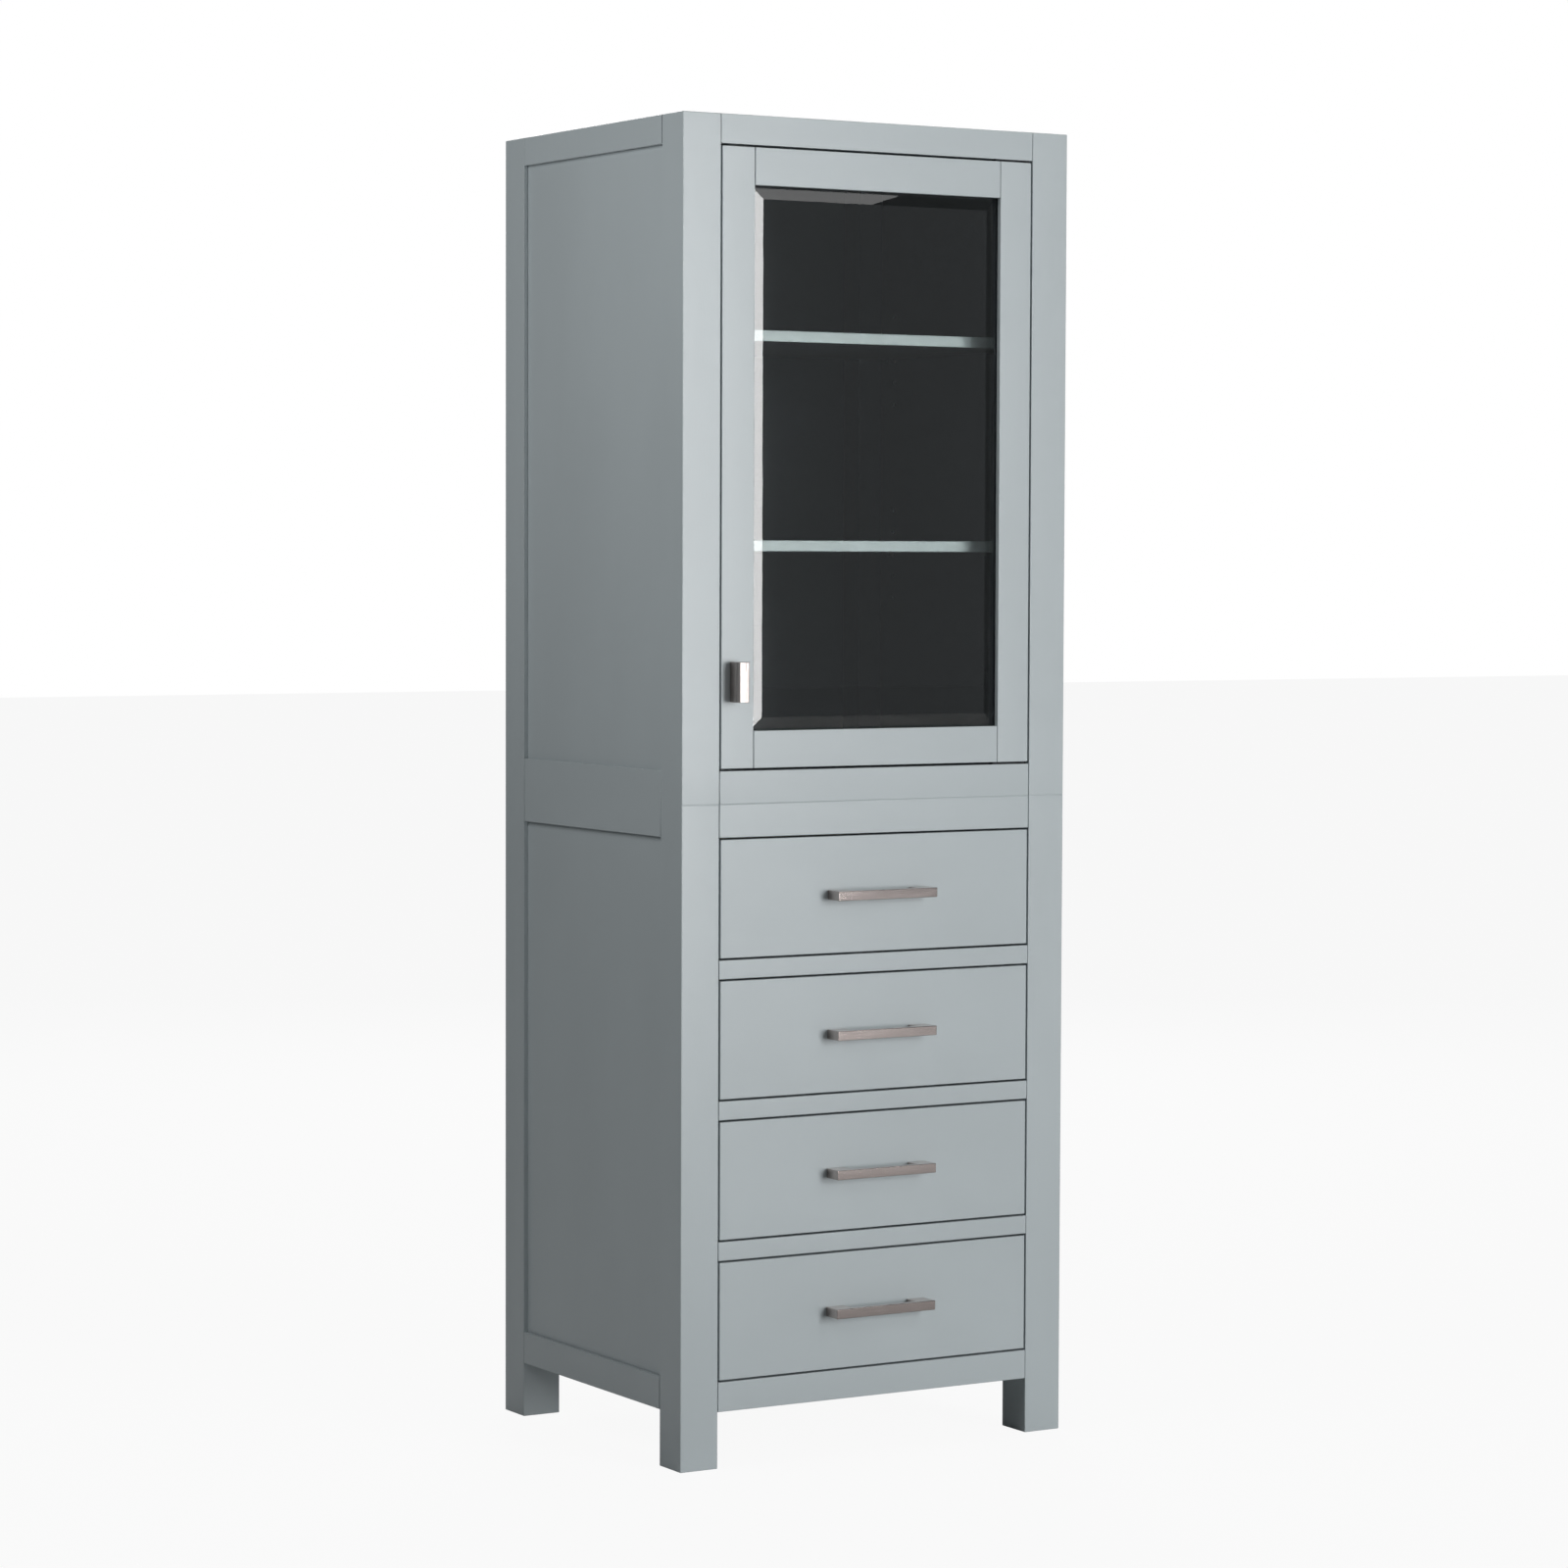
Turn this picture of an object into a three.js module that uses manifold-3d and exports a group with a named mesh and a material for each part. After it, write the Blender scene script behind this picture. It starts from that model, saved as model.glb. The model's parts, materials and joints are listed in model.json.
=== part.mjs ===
// A tall pantry cabinet: a post-and-rail case on four legs, with a bevelled-glass door over two
// shelves, and four drawers below, each on one centre slide. Millimetres, +Z up, front towards -Y.
import * as THREE from "three";
import { ConvexGeometry } from "three/addons/geometries/ConvexGeometry.js";
import { mergeVertices } from "three/addons/utils/BufferGeometryUtils.js";
import Module from "manifold-3d";

const wasm = await Module();
wasm.setup();

// ---- Driving dimensions ----
const width = 609.6;
const depth = 508;
const height = 1803.4;
const postSize = 57.15;
const legHeight = 76.2; // floor to the underside of the bottom rails
const waistHeight = 890.45; // floor to the shadow line that divides the two compartments

// Rails of the case
const railThickness = 22;
const topRailHeight = 38.9;
const middleRailHeight = 88.9;
const frontBottomRailHeight = 40;
const sideBottomRailHeight = 44.5;
const dividerHeight = 25.4;
const dividerDepth = 60;
const shadowLineWidth = 2.4;

// Panels and boards
const panelThickness = 12.7;
const panelRecess = 6.35;
const backThickness = 6.35;
const backRecess = 6.35;
const boardThickness = 18;
const shelfThickness = 15;
const shelfLevels = { lower: 0.37, upper: 0.71 }; // of the way up the door's compartment
const shelfClearance = 1.5;

// Joinery
const fitGap = 0.3; // between pieces that touch
const overcut = 1; // how far a cutter runs past the face it opens, and a joined lug into its piece
const grooveDepth = 6.5;
const tongueDepth = 6;
const tenonLength = 18;
const tenonThickness = 9;
const tenonSetback = 7; // from the outer face of a rail to its tenon
const tenonShoulder = 6; // above and below a tenon

// Door
const doorThickness = 20;
const doorSideGap = 2.5;
const doorEndGap = 3;
const doorMember = 50; // width of its stiles and rails
const doorLip = 8; // wood in front of the glass
const rebateWidth = 9;
const glassThickness = 5;
const glassEdgeThickness = 2;
const glassBevel = 25.4;
const glassClearance = 1;
const beadWidth = 8.4;
const doorTenonCheek = 1.5; // wood in front of and behind a tenon, behind the lip
const knobSize = [14.5, 29, 54];
const knobFromEdge = 19.4; // centre, from the door's free edge
const knobFromBottom = 115.5; // centre, from the door's lower edge

// Magnetic catch behind the top rail, at the door's free corner
const catchSize = [46, 14, 34];
const catchFromPost = 24;
const catchBelowRail = 15;

// Pivot hinges, let into the wood above and below the door
const pivotFromEdge = 8;
const pivotFromFace = 6;
const pivotPinRadius = 3;
const pivotClearance = 0.3; // round the pin
const pivotPinLength = 8;
const leafLength = 55;
const leafWidth = 10;
const leafThickness = 2;
const leafAir = 0.4; // between the two leaves

// Drawers
const drawerCount = 4;
const drawerGap = 2.5;
const drawerFrontThickness = 20;
const boxSideClearance = 10;
const boxRearSpace = 75;
const boxHeadroom = 30;
const boxWall = 12.7;
const boxBottomThickness = 6.35;
const boxLift = 8; // opening's floor to the lower edge of the box sides
const boxBottomLift = 18; // opening's floor to the underside of the box bottom
const pullLength = 157.5;
const pullHeight = 13;
const pullProjection = 30;
const pullBar = 8;
const pullLeg = 28;

// Centre slides
const trackWidth = 36;
const trackHeight = 12;
const trackClearance = 3; // behind the front wall of the box
const slideWall = 1.5;
const runnerClearance = 2.5; // each side, inside the track
const runnerSetback = 14; // from the back of the box
const runnerLift = 4; // opening's floor to the runner's lower edges

// ---- Places that follow from them ----
const halfWidth = width / 2;
const openingHalf = halfWidth - postSize; // half of the clear width between the posts
const middleRailBottom = waistHeight - middleRailHeight / 2;
const middleRailTop = waistHeight + middleRailHeight / 2;
const topRailBottom = height - topRailHeight;
const drawerBankBottom = legHeight + frontBottomRailHeight;
const drawerBank = middleRailBottom - drawerBankBottom;
const drawerOpening = (drawerBank - (drawerCount - 1) * dividerHeight) / drawerCount;
const drawerPitch = drawerOpening + dividerHeight;
const openingFloor = (number) => middleRailBottom - drawerOpening - (number - 1) * drawerPitch;
const backFace = depth - backRecess; // rear face of the back panels
const backInside = backFace - backThickness; // their inner face
const sideInside = halfWidth - panelRecess - panelThickness;
const boxFront = drawerFrontThickness + fitGap;
const boxBack = backInside - boxRearSpace;
const boxTop = drawerOpening - boxHeadroom;

const door = {
  left: -openingHalf + doorSideGap,
  right: openingHalf - doorSideGap,
  bottom: middleRailTop + doorEndGap,
  top: topRailBottom - doorEndGap,
};
const pivotHoleRadius = pivotPinRadius + pivotClearance;
const pivot = { x: door.right - pivotFromEdge, y: pivotFromFace };
const hinges = {
  bottom: { caseFace: middleRailTop, doorFace: door.bottom, towardsDoor: 1 },
  top: { caseFace: topRailBottom, doorFace: door.top, towardsDoor: -1 },
};

// ---- Materials ----
function paint(color, roughness = 0.45, metalness = 0) {
  return new THREE.MeshStandardMaterial({ color, roughness, metalness });
}
const greyPaint = paint(0xb4bcbf);
const charcoal = paint(0x2a2d31, 0.6);
const birch = paint(0xd8bf94, 0.6);
const nickel = paint(0xa39a95, 0.3, 1);
const steel = paint(0xb8bcc0, 0.35, 1);
const glass = new THREE.MeshStandardMaterial({
  color: 0xdfe8e6,
  roughness: 0.05,
  metalness: 0,
  transparent: true,
  opacity: 0.3,
});

// ---- Solids ----
// A box from its lowest to its highest corner.
function box(low, high) {
  const size = high.map((value, axis) => value - low[axis]);
  const centre = high.map((value, axis) => (value + low[axis]) / 2);
  return new THREE.BoxGeometry(...size).translate(...centre);
}

// A box that is the mirror image, across the middle of the cabinet, of the one given.
function mirrorBox([low, high]) {
  return [[-high[0], low[1], low[2]], [-low[0], high[1], high[2]]];
}

function grown([low, high], by) {
  return [low.map((value) => value - by), high.map((value) => value + by)];
}

function toSolid(geometry) {
  const bare = geometry.index ? geometry.toNonIndexed() : geometry.clone();
  bare.deleteAttribute("normal");
  bare.deleteAttribute("uv");
  const merged = mergeVertices(bare, 1e-4);
  return new wasm.Manifold(
    new wasm.Mesh({
      numProp: 3,
      vertProperties: merged.attributes.position.array,
      triVerts: new Uint32Array(merged.index.array),
    }),
  );
}

function toGeometry(solid) {
  const mesh = solid.getMesh();
  const geometry = new THREE.BufferGeometry();
  geometry.setAttribute("position", new THREE.BufferAttribute(mesh.vertProperties, 3));
  geometry.setIndex(new THREE.BufferAttribute(mesh.triVerts, 1));
  geometry.computeVertexNormals();
  return geometry;
}

// The first box or geometry, joined with the extras and cut by the cutters.
function shaped(base, joins = [], cutters = []) {
  const make = (item) => toSolid(item.isBufferGeometry ? item : box(...item));
  let solid = make(base);
  for (const item of joins) solid = solid.add(make(item));
  for (const item of cutters) solid = solid.subtract(make(item));
  return toGeometry(solid);
}

// A round bar along Z, with its lower end at the point given.
function upright(radius, length, [x, y, z]) {
  const segments = 24;
  return new THREE.CylinderGeometry(radius, radius, length, segments)
    .rotateX(Math.PI / 2)
    .translate(x, y, z + length / 2);
}

// A section in the XZ plane, pushed along Y from one place to another.
function alongY(points, from, to) {
  const shape = new THREE.Shape(points.map(([x, z]) => new THREE.Vector2(x, z)));
  const options = { depth: to - from, bevelEnabled: false };
  return new THREE.ExtrudeGeometry(shape, options).rotateX(Math.PI / 2).translate(0, to, 0);
}

// ---- The cabinet's groups ----
const cabinet = new THREE.Group();
cabinet.position.y = -(depth - pullProjection) / 2; // origin under the middle of the whole object
const caseGroup = new THREE.Group();
const doorGroup = new THREE.Group();
cabinet.add(caseGroup, doorGroup);

// Adds a named mesh whose geometry was drawn in the group's frame, and places it by its position.
function addPiece(group, name, geometry, material, origin = null) {
  geometry.computeBoundingBox();
  const place = origin ? new THREE.Vector3(...origin) : geometry.boundingBox.min.clone();
  geometry.translate(-place.x, -place.y, -place.z);
  const mesh = new THREE.Mesh(geometry, material);
  mesh.name = name;
  mesh.position.copy(place);
  group.add(mesh);
  return mesh;
}

// ---- Case: rails, with a tenon at each end ----
const sideRailHeights = {
  top: [topRailBottom, height],
  middle: [middleRailBottom, middleRailTop],
  bottom: [legHeight, legHeight + sideBottomRailHeight],
};
const frontRails = {
  front_rail_top: [topRailBottom, height, railThickness],
  front_rail_middle: [middleRailBottom, middleRailTop, railThickness],
  front_rail_bottom: [legHeight, drawerBankBottom, railThickness],
};
for (let number = 1; number < drawerCount; number += 1) {
  const top = openingFloor(number);
  frontRails[`drawer_divider_${number}`] = [top - dividerHeight, top, dividerDepth];
}

// The tenons of a left-hand side rail, in the front and back posts.
function sideTenons([bottom, top]) {
  const x = [-halfWidth + tenonSetback, -halfWidth + tenonSetback + tenonThickness];
  const z = [bottom + tenonShoulder, top - tenonShoulder];
  const front = [postSize - tenonLength, postSize + overcut];
  const back = [depth - postSize - overcut, depth - postSize + tenonLength];
  return [front, back].map((y) => [[x[0], y[0], z[0]], [x[1], y[1], z[1]]]);
}

// The tenons of a rail across the front or back, in the left and right posts.
function crossTenons([bottom, top], yFace, inwards) {
  const near = yFace + inwards * tenonSetback;
  const far = near + inwards * tenonThickness;
  const low = [-openingHalf - tenonLength, Math.min(near, far), bottom + tenonShoulder];
  const high = [-openingHalf + overcut, Math.max(near, far), top - tenonShoulder];
  return [[low, high], mirrorBox([low, high])];
}

// Grooves that hold the edges of a panel lying between two heights.
function sidePanelBox([bottom, top], edge) {
  return [
    [-halfWidth + panelRecess, postSize - edge, bottom - edge],
    [-halfWidth + panelRecess + panelThickness, depth - postSize + edge, top + edge],
  ];
}
const panelHeights = {
  upper: [middleRailTop, topRailBottom],
  lower: [legHeight + sideBottomRailHeight, middleRailBottom],
};
const backHeights = {
  upper: [middleRailTop - tongueDepth, height],
  lower: [legHeight, middleRailBottom + tongueDepth],
};
function backPanelBox([bottom, top], edge) {
  const half = openingHalf + edge;
  return [[-half, backInside, bottom], [half, backFace, top]];
}

// Widens a box across its thickness only, so that a panel has room in its groove.
function loosened([low, high], axis, by) {
  const from = [...low];
  const to = [...high];
  from[axis] -= by;
  to[axis] += by;
  return [from, to];
}

// The V-shaped shadow line across the front, as a bar turned on its edge.
function shadowLine() {
  const side = shadowLineWidth / Math.SQRT2;
  return new THREE.BoxGeometry(width + 2 * overcut, side, side).rotateX(Math.PI / 4)
    .translate(0, 0, waistHeight);
}

const sideGrooves = Object.values(panelHeights)
  .map((heights) => loosened(sidePanelBox(heights, grooveDepth), 0, fitGap));
const backGrooves = Object.values(backHeights).map((heights) => {
  const [low, high] = loosened(backPanelBox(heights, grooveDepth), 1, fitGap);
  return [[low[0], low[1], low[2] - overcut], [high[0], high[1], high[2] + overcut]];
});

// A hinge leaf, from the middle of the gap round the door back into the wood on its own side.
function leafBox({ caseFace, doorFace }, away) {
  const near = (caseFace + doorFace) / 2 + away * leafAir / 2;
  const far = near + away * leafThickness;
  const right = pivot.x + leafWidth / 2;
  return [
    [right - leafLength, pivot.y - leafWidth / 2, Math.min(near, far)],
    [right, pivot.y + leafWidth / 2, Math.max(near, far)],
  ];
}
const caseLeafPockets = Object.values(hinges)
  .map((hinge) => grown(leafBox(hinge, -hinge.towardsDoor), fitGap));
const doorLeafPockets = Object.values(hinges)
  .map((hinge) => grown(leafBox(hinge, hinge.towardsDoor), fitGap));

// ---- Case: posts, cut for every tenon and panel that enters them ----
function addPosts() {
  const mortises = [];
  for (const heights of Object.values(sideRailHeights)) mortises.push(...sideTenons(heights));
  const backMortises = crossTenons(sideRailHeights.middle, depth, -1);
  const frontMortises = Object.values(frontRails)
    .flatMap(([bottom, top]) => crossTenons([bottom, top], 0, 1));
  for (const [sideName, onRight] of [["left", false], ["right", true]]) {
    for (const [placeName, y] of [["front", 0], ["back", depth - postSize]]) {
      const post = [[-halfWidth, y, 0], [-halfWidth + postSize, y + postSize, height]];
      const cuts = [...mortises.map((tenon) => grown(tenon, fitGap)), ...sideGrooves];
      const placed = onRight ? cuts.map(mirrorBox) : cuts;
      const cross = placeName === "front" ? frontMortises : backMortises;
      placed.push(...cross.map((tenon) => grown(tenon, fitGap)));
      if (placeName === "back") placed.push(...backGrooves);
      else placed.push(shadowLine());
      const base = onRight ? mirrorBox(post) : post;
      addPiece(caseGroup, `post_${placeName}_${sideName}`, shaped(base, [], placed), greyPaint);
    }
  }
}

function addSideRails() {
  for (const [level, heights] of Object.entries(sideRailHeights)) {
    const body = [
      [-halfWidth, postSize + fitGap, heights[0]],
      [-halfWidth + railThickness, depth - postSize - fitGap, heights[1]],
    ];
    const tenons = sideTenons(heights);
    for (const [sideName, turn] of [["left", (item) => item], ["right", mirrorBox]]) {
      const geometry = shaped(turn(body), tenons.map(turn), sideGrooves.map(turn));
      addPiece(caseGroup, `side_rail_${level}_${sideName}`, geometry, greyPaint);
    }
  }
}

function addFrontRails() {
  for (const [name, [bottom, top, deep]] of Object.entries(frontRails)) {
    const half = openingHalf - fitGap;
    const body = [[-half, 0, bottom], [half, deep, top]];
    const cutters = [shadowLine(), ...caseLeafPockets];
    const geometry = shaped(body, crossTenons([bottom, top], 0, 1), cutters);
    addPiece(caseGroup, name, geometry, greyPaint);
  }
  const half = openingHalf - fitGap;
  const [bottom, top] = sideRailHeights.middle;
  const body = [[-half, depth - railThickness, bottom], [half, depth, top]];
  const geometry = shaped(body, crossTenons([bottom, top], depth, -1), backGrooves);
  addPiece(caseGroup, "back_rail_middle", geometry, greyPaint);
}

function addPanels() {
  for (const [level, heights] of Object.entries(panelHeights)) {
    const panel = sidePanelBox(heights, tongueDepth);
    addPiece(caseGroup, `side_panel_${level}_left`, box(...panel), greyPaint);
    addPiece(caseGroup, `side_panel_${level}_right`, box(...mirrorBox(panel)), greyPaint);
  }
  for (const [level, heights] of Object.entries(backHeights)) {
    const panel = backPanelBox(heights, tongueDepth);
    addPiece(caseGroup, `back_panel_${level}`, box(...panel), level === "upper" ? charcoal : birch);
  }
}

// A board that fills the case between the rails, notched round the posts and side panels.
function notchedBoard(bottom, top, back) {
  const half = halfWidth - railThickness - fitGap;
  const board = [[-half, railThickness + fitGap, bottom], [half, back, top]];
  const notches = Object.values(panelHeights)
    .map((heights) => grown(sidePanelBox(heights, tongueDepth), fitGap))
    .flatMap((notch) => [notch, mirrorBox(notch)]);
  for (const y of [[0, postSize + fitGap], [depth - postSize - fitGap, depth]]) {
    const notch = [
      [-halfWidth, y[0], bottom - overcut],
      [-openingHalf + fitGap, y[1], top + overcut],
    ];
    notches.push(notch, mirrorBox(notch));
  }
  return shaped(board, [], notches);
}

function addBoards() {
  const toBackPanel = backInside - fitGap;
  const boards = {
    top_panel: [height - boardThickness, height, toBackPanel],
    deck_panel: [middleRailTop - boardThickness, middleRailTop, depth - railThickness - fitGap],
    bottom_panel: [drawerBankBottom - boardThickness, drawerBankBottom, toBackPanel],
  };
  for (const [name, [bottom, top, back]] of Object.entries(boards)) {
    addPiece(caseGroup, name, notchedBoard(bottom, top, back), greyPaint);
  }
  const half = sideInside - shelfClearance;
  const front = postSize + shelfClearance;
  const back = depth - postSize - shelfClearance;
  for (const [level, share] of Object.entries(shelfLevels)) {
    const top = middleRailTop + share * (topRailBottom - middleRailTop);
    const shelf = box([-half, front, top - shelfThickness], [half, back, top]);
    addPiece(caseGroup, `shelf_${level}`, shelf, greyPaint);
  }
}

// ---- Door ----
const sight = {
  left: door.left + doorMember,
  right: door.right - doorMember,
  bottom: door.bottom + doorMember,
  top: door.top - doorMember,
};

// The stepped hole behind the sight opening, which takes the glass and its bead.
function rebateBox(by = rebateWidth) {
  return [
    [sight.left - by, doorLip, sight.bottom - by],
    [sight.right + by, doorThickness + overcut, sight.top + by],
  ];
}

function doorTenons([bottom, top]) {
  const y = [doorLip + doorTenonCheek, doorThickness - doorTenonCheek];
  const z = [bottom + tenonShoulder, top - tenonShoulder];
  const left = sight.left - rebateWidth;
  const tenon = [[left - tenonLength, y[0], z[0]], [left + overcut, y[1], z[1]]];
  return [tenon, mirrorBox(tenon)];
}

function addDoorFrame() {
  const rails = {
    door_rail_top: [sight.top, door.top],
    door_rail_bottom: [door.bottom, sight.bottom],
  };
  const tenons = Object.values(rails).flatMap(doorTenons).map((item) => grown(item, fitGap));
  const [rebateLow, rebateHigh] = rebateBox();
  const stileRebate = [
    [rebateLow[0], doorLip, door.bottom - overcut],
    [rebateHigh[0], rebateHigh[1], door.top + overcut],
  ];
  const sockets = [door.bottom - overcut, door.top - pivotPinLength].map((z) =>
    upright(pivotHoleRadius, pivotPinLength + overcut, [pivot.x, pivot.y, z]));
  const stiles = {
    door_stile_latch: [[door.left, 0, door.bottom], [sight.left, doorThickness, door.top]],
    door_stile_hinge: [[sight.right, 0, door.bottom], [door.right, doorThickness, door.top]],
  };
  for (const [name, body] of Object.entries(stiles)) {
    const cutters = [stileRebate, ...tenons, ...sockets, ...doorLeafPockets];
    const geometry = shaped(body, [], cutters);
    addPiece(doorGroup, name, geometry, greyPaint);
  }
  for (const [name, heights] of Object.entries(rails)) {
    const low = sight.left + fitGap;
    const high = sight.right - fitGap;
    const lip = [[low, 0, heights[0]], [high, doorLip, heights[1]]];
    const core = [
      [low - rebateWidth, doorLip, heights[0]],
      [high + rebateWidth, doorThickness, heights[1]],
    ];
    const cutters = [rebateBox(), ...doorLeafPockets];
    const geometry = shaped(lip, [core, ...doorTenons(heights)], cutters);
    addPiece(doorGroup, name, geometry, greyPaint);
  }
}

// The pane, thinned by a wide bevel all round its front face.
function addGlass() {
  const overlap = rebateWidth - glassClearance;
  const front = doorLip + fitGap;
  const layers = [
    [glassBevel - overlap, front],
    [-overlap, front + glassThickness - glassEdgeThickness],
    [-overlap, front + glassThickness],
  ];
  const corners = [];
  for (const [inset, y] of layers) {
    for (const x of [sight.left + inset, sight.right - inset]) {
      for (const z of [sight.bottom + inset, sight.top - inset]) {
        corners.push(new THREE.Vector3(x, y, z));
      }
    }
  }
  addPiece(doorGroup, "door_glass", new ConvexGeometry(corners), glass);

  const beadFront = front + glassThickness + fitGap;
  const beadBack = doorThickness - fitGap;
  const [low, high] = rebateBox(rebateWidth - fitGap);
  const outer = [[low[0], beadFront, low[2]], [high[0], beadBack, high[2]]];
  const hole = [
    [low[0] + beadWidth, beadFront - overcut, low[2] + beadWidth],
    [high[0] - beadWidth, beadBack + overcut, high[2] - beadWidth],
  ];
  addPiece(doorGroup, "door_glass_bead", shaped(outer, [], [hole]), greyPaint);
}

function addKnob() {
  const [wide, deep, tall] = knobSize;
  const x = door.left + knobFromEdge;
  const z = door.bottom + knobFromBottom;
  const knob = box([x - wide / 2, -deep, z - tall / 2], [x + wide / 2, -fitGap, z + tall / 2]);
  addPiece(doorGroup, "door_knob", knob, nickel);
}

// One leaf lies on the case and carries the pin; the other lies on the door's edge.
function addPivotHinges() {
  for (const [name, hinge] of Object.entries(hinges)) {
    const { doorFace, towardsDoor } = hinge;
    const onCase = leafBox(hinge, -towardsDoor);
    const pinRoot = (onCase[0][2] + onCase[1][2]) / 2;
    const pinTip = doorFace + towardsDoor * (pivotPinLength - fitGap);
    const pinLow = Math.min(pinRoot, pinTip);
    const pin = upright(pivotPinRadius, Math.abs(pinTip - pinRoot), [pivot.x, pivot.y, pinLow]);

    const onDoor = leafBox(hinge, towardsDoor);
    const eyeLow = onDoor[0][2] - overcut;
    const eyeLength = leafThickness + 2 * overcut;
    const eye = upright(pivotHoleRadius, eyeLength, [pivot.x, pivot.y, eyeLow]);
    addPiece(caseGroup, `case_hinge_leaf_${name}`, shaped(onCase, [pin]), steel);
    addPiece(doorGroup, `door_hinge_leaf_${name}`, shaped(onDoor, [], [eye]), steel);
  }
}

// Holds the door shut and stops it flush with the posts.
function addCatch() {
  const [wide, deep, tall] = catchSize;
  const left = -openingHalf + catchFromPost;
  const front = railThickness + fitGap;
  const bottom = topRailBottom - catchBelowRail;
  const body = [[left, front, bottom], [left + wide, front + deep, bottom + tall]];
  const doorSpace = [
    [door.left, 0, door.bottom],
    [door.right, doorThickness + fitGap, door.top + doorEndGap],
  ];
  addPiece(caseGroup, "door_catch", shaped(body, [], [doorSpace]), charcoal);
}

// ---- Drawers ----
function uSection(half, wall, bottom, top, opensUp) {
  const inner = half - wall;
  const web = opensUp ? bottom : top;
  const inside = opensUp ? bottom + wall : top - wall;
  const free = opensUp ? top : bottom;
  const points = [
    [-half, web], [half, web], [half, free], [inner, free],
    [inner, inside], [-inner, inside], [-inner, free], [-half, free],
  ];
  return opensUp ? points : points.reverse();
}

function boxGeometry() {
  const half = openingHalf - boxSideClearance;
  const inner = half - boxWall;
  const outer = [[-half, boxFront, boxLift], [half, boxBack, boxTop]];
  const cavity = [
    [-inner, boxFront + boxWall, boxBottomLift + boxBottomThickness],
    [inner, boxBack - boxWall, boxTop + overcut],
  ];
  const underside = [
    [-inner, boxFront + boxWall, boxLift - overcut],
    [inner, boxBack + overcut, boxBottomLift],
  ];
  return shaped(outer, [], [cavity, underside]);
}

function pullGeometry() {
  const half = pullLength / 2;
  const bar = [[-half, -pullProjection, 0], [half, -pullProjection + pullBar, pullHeight]];
  const leg = [[-half, -pullProjection, 0], [-half + pullLeg, -fitGap, pullHeight]];
  return shaped(bar, [leg, mirrorBox(leg)]);
}

// Everything of one drawer, drawn with z = 0 at the floor of its opening.
function addDrawer(number) {
  const drawer = new THREE.Group();
  drawer.position.z = openingFloor(number);
  cabinet.add(drawer);

  const half = openingHalf - drawerGap;
  const face = box(
    [-half, 0, drawerGap],
    [half, drawerFrontThickness, drawerOpening - drawerGap],
  );
  addPiece(drawer, `drawer_${number}_front`, face, greyPaint);
  addPiece(drawer, `drawer_${number}_box`, boxGeometry(), birch);
  const pull = pullGeometry().translate(0, 0, (drawerOpening - pullHeight) / 2);
  addPiece(drawer, `drawer_${number}_pull`, pull, nickel);

  const trackHalf = trackWidth / 2;
  const track = uSection(trackHalf, slideWall, fitGap, fitGap + trackHeight, true);
  const trackStart = boxFront + boxWall + trackClearance;
  const trackEnd = backInside - fitGap;
  addPiece(drawer, `drawer_${number}_track`, alongY(track, trackStart, trackEnd), steel);
  const runnerHalf = trackHalf - slideWall - runnerClearance;
  const runner = uSection(runnerHalf, slideWall, runnerLift, boxBottomLift - fitGap, false);
  const runnerEnd = boxBack - runnerSetback;
  addPiece(drawer, `drawer_${number}_runner`, alongY(runner, trackStart, runnerEnd), steel);
}

addPosts();
addSideRails();
addFrontRails();
addPanels();
addBoards();
addDoorFrame();
addGlass();
addKnob();
addPivotHinges();
addCatch();
for (let number = 1; number <= drawerCount; number += 1) addDrawer(number);

export default cabinet;
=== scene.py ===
"""A tall pantry cabinet in satin grey lacquer: bevelled-glass door, two shelves and four drawers.

Laid out as an add-on. Lengths here are metres, written as a number times MM.
"""

import json
import math

import bmesh
import bpy
from bpy.props import (
    FloatProperty,
    FloatVectorProperty,
    IntProperty,
    PointerProperty,
)
from mathutils import Matrix, Vector

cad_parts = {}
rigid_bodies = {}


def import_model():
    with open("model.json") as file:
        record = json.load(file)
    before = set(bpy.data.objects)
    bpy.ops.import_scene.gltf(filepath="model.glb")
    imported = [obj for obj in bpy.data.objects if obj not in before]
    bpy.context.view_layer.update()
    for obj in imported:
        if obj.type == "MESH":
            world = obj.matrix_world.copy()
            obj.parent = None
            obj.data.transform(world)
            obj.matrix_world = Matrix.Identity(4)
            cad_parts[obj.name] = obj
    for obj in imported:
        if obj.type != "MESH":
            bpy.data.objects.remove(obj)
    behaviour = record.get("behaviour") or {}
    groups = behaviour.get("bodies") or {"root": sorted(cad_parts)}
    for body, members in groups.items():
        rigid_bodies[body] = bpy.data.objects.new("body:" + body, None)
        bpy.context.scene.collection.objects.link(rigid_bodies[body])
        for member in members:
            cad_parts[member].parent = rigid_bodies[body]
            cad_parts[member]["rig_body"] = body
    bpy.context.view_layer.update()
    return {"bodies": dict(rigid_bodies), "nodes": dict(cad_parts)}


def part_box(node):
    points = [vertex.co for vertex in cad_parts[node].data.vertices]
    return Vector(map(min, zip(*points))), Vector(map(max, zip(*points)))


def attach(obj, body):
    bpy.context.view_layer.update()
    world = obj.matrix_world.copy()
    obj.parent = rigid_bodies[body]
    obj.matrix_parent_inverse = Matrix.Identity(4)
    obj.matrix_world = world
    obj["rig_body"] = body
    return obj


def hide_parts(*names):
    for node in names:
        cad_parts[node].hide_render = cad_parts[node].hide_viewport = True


bl_info = {
    "name": "Pantry Cabinet",
    "version": (1, 0, 0),
    "blender": (4, 5, 0),
    "location": "View3D > Sidebar > Cabinet",
    "description": "Builds a pantry cabinet with a bevelled-glass door and four drawers",
    "category": "Object",
}

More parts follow.
